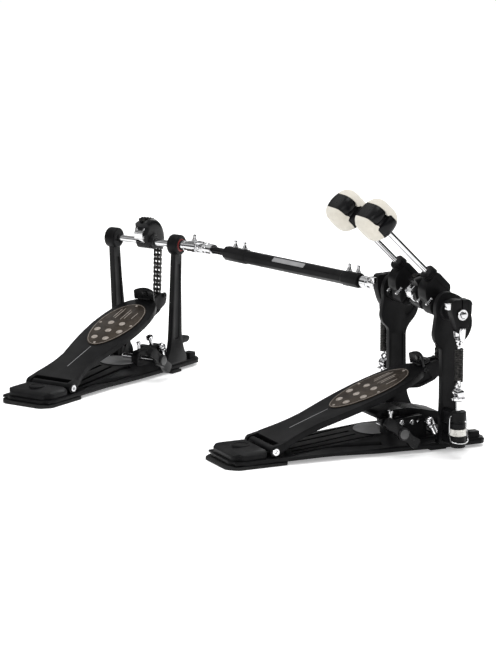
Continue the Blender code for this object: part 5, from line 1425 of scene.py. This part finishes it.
def small_wing(height, turn):
    """Chromed wing screw that stands the given height above the line it points at, turned about itself."""
    stem = lathe("stem", [(0.0, 0.002), (height, 0.002), (height + 0.0004, 0.004),
                          (height + 0.0012, 0.0044),
                          (height + 0.0024, 0.0036), (height + 0.005, 0.0026), (height + 0.0058, 0.0018)],
                 (0, 0, 0), (0, 0, 1), 28)
    grip = plate("grip", eased([(-0.003, height + 0.0016), (0.003, height + 0.0016),
                                (0.006, height + 0.008),
                                (0.0054, height + 0.0118), (0.003, height + 0.0122), (0.0, height + 0.0082),
                                (-0.003, height + 0.0122), (-0.0054, height + 0.0118),
                                (-0.006, height + 0.008)],
                               0.0016), -0.0015, 0.0015, ACROSS)
    whole = merged("small_wing", stem, softened(grip, 0.0006, 3, 40))
    whole.data.transform(Matrix.Rotation(turn, 4, "Z"))
    return whole


hub_wing = small_wing(0.0072, radians(-40))
hub_wing.data.transform(Matrix.Translation((0.0875, 0, 0)))
side_axle = merged("side_axle", side_axle, side_fork, hub_wing)
side_axle.data.transform(SIDE_PLACE @ AXLE_FRAME)
fitted(side_axle, "side_axle_and_hub", CHROME, "side_axle", "chrome", "side_axle")
cross = softened(block("cross", (-0.0044, -0.0044, -0.0044), (0.0044, 0.0044, 0.0044)), 0.001, 2, 40)
arms = [lathe("arm", [(-0.0052, 0.0018), (-0.0048, 0.0022), (0.0048, 0.0022), (0.0052, 0.0018)], (0, 0, 0),
              axis, 20)
        for axis in ((0, 0, 1), (0, 1, 0))]
cross = merged("cross", cross, *arms)
fitted(again(cross, AXLE_FRAME @ Matrix.Translation((JOINT_X, 0, 0))), "left_cross", CHROME, "left_beater",
       "chrome",
       "left_joint_cross")
fitted(again(cross, SIDE_PLACE @ AXLE_FRAME @ Matrix.Translation((SIDE_JOINT_X, 0, 0))), "right_cross",
       CHROME,
       "side_axle", "chrome", "right_joint_cross")
bpy.data.objects.remove(cross, do_unlink=True)

# --------------------------------------------------
# Drive shaft: a black eight-sided steel tube over two rods, with raised collars, four chromed wing screws
# that lock its length, tapered black stubs, chromed forks and a plain silver label.
start = SIDE_PLACE @ AXLE_FRAME @ Vector((SIDE_JOINT_X, 0, 0))
finish_point = AXLE_FRAME @ Vector((JOINT_X, 0, 0))
reach = finish_point - start
SHAFT_FRAME = Matrix.Translation(start) @ Matrix.Rotation(atan2(reach[1], reach[0]), 4, "Z")
REACH = reach.length
TUBE_START, TUBE_END = 0.056, REACH - 0.0305
EIGHTH = Matrix.Rotation(radians(22.5), 4, "X")
tube = lathe("tube", [(TUBE_START, 0.0088), (TUBE_START + 0.001, 0.0106), (TUBE_START + 0.046, 0.0106),
                      (TUBE_START + 0.047, 0.0096), (TUBE_END - 0.033, 0.0096), (TUBE_END - 0.032, 0.0106),
                      (TUBE_END - 0.001, 0.0106), (TUBE_END, 0.0088)], (0, 0, 0), (1, 0, 0), 8)
tube.data.transform(EIGHTH)
tube = worked(tube, "DIFFERENCE", rod("bore", (0, 0, 0), (REACH, 0, 0), 0.006))
tube = softened(tube, 0.0006, 2, 20)
tube.data.transform(SHAFT_FRAME)
fitted(tube, "shaft_tube", COAT, "drive_shaft", "black_powder_coat", "drive_tube")
label = softened(plate("label", eased([(0.163, -0.0034), (0.229, -0.0034), (0.229, 0.0034), (0.163, 0.0034)],
                                      0.0008, 2),
                       0.0087, 0.0092), 0.0001, 1, 40)
label.data.transform(SHAFT_FRAME @ Matrix.Rotation(radians(45), 4, "X"))
fitted(label, "plain_label", SILVER, "drive_shaft", "chrome")
tube_wings = []
for along in (TUBE_START + 0.019, TUBE_START + 0.039, TUBE_END - 0.024, TUBE_END - 0.006):
    one = small_wing(0.0098, radians(-28))
    one.data.transform(Matrix.Translation((along, 0, 0)))
    tube_wings.append(one)
tube_wings = merged("tube_wings", *tube_wings)
tube_wings.data.transform(SHAFT_FRAME)
fitted(tube_wings, "tube_wing_screws", CHROME, "drive_shaft", "chrome")
for name, place, tube_mouth in (("left", Matrix.Identity(4), TUBE_START),
                                ("right", Matrix.Translation((REACH, 0, 0))
                                @ Matrix.Rotation(pi, 4, "Z"), REACH - TUBE_END)):
    outer_fork = fork((1, 0, 0), (0, 1, 0))
    sleeve = lathe("sleeve", [(0.015, 0.007), (0.0156, 0.008), (0.0262, 0.008), (0.0268, 0.0066)],
                   (0, 0, 0), (1, 0, 0), 40)
    outer_fork = merged("outer_fork", outer_fork, sleeve)
    outer_fork.data.transform(SHAFT_FRAME @ place)
    fitted(outer_fork, name + "_drive_fork", CHROME, "drive_shaft", "chrome", "drive_rod_" + name)
    stub = lathe("stub", [(0.0225, 0.006), (0.0232, 0.0066), (0.0285, 0.005), (tube_mouth - 0.004, 0.0052),
                          (tube_mouth - 0.003, 0.0066), (tube_mouth + 0.004, 0.0066)], (0, 0, 0),
                          (1, 0, 0), 32)
    stub.data.transform(SHAFT_FRAME @ place)
    fitted(stub, name + "_drive_stub", PLASTIC, "drive_shaft", "black_plastic")
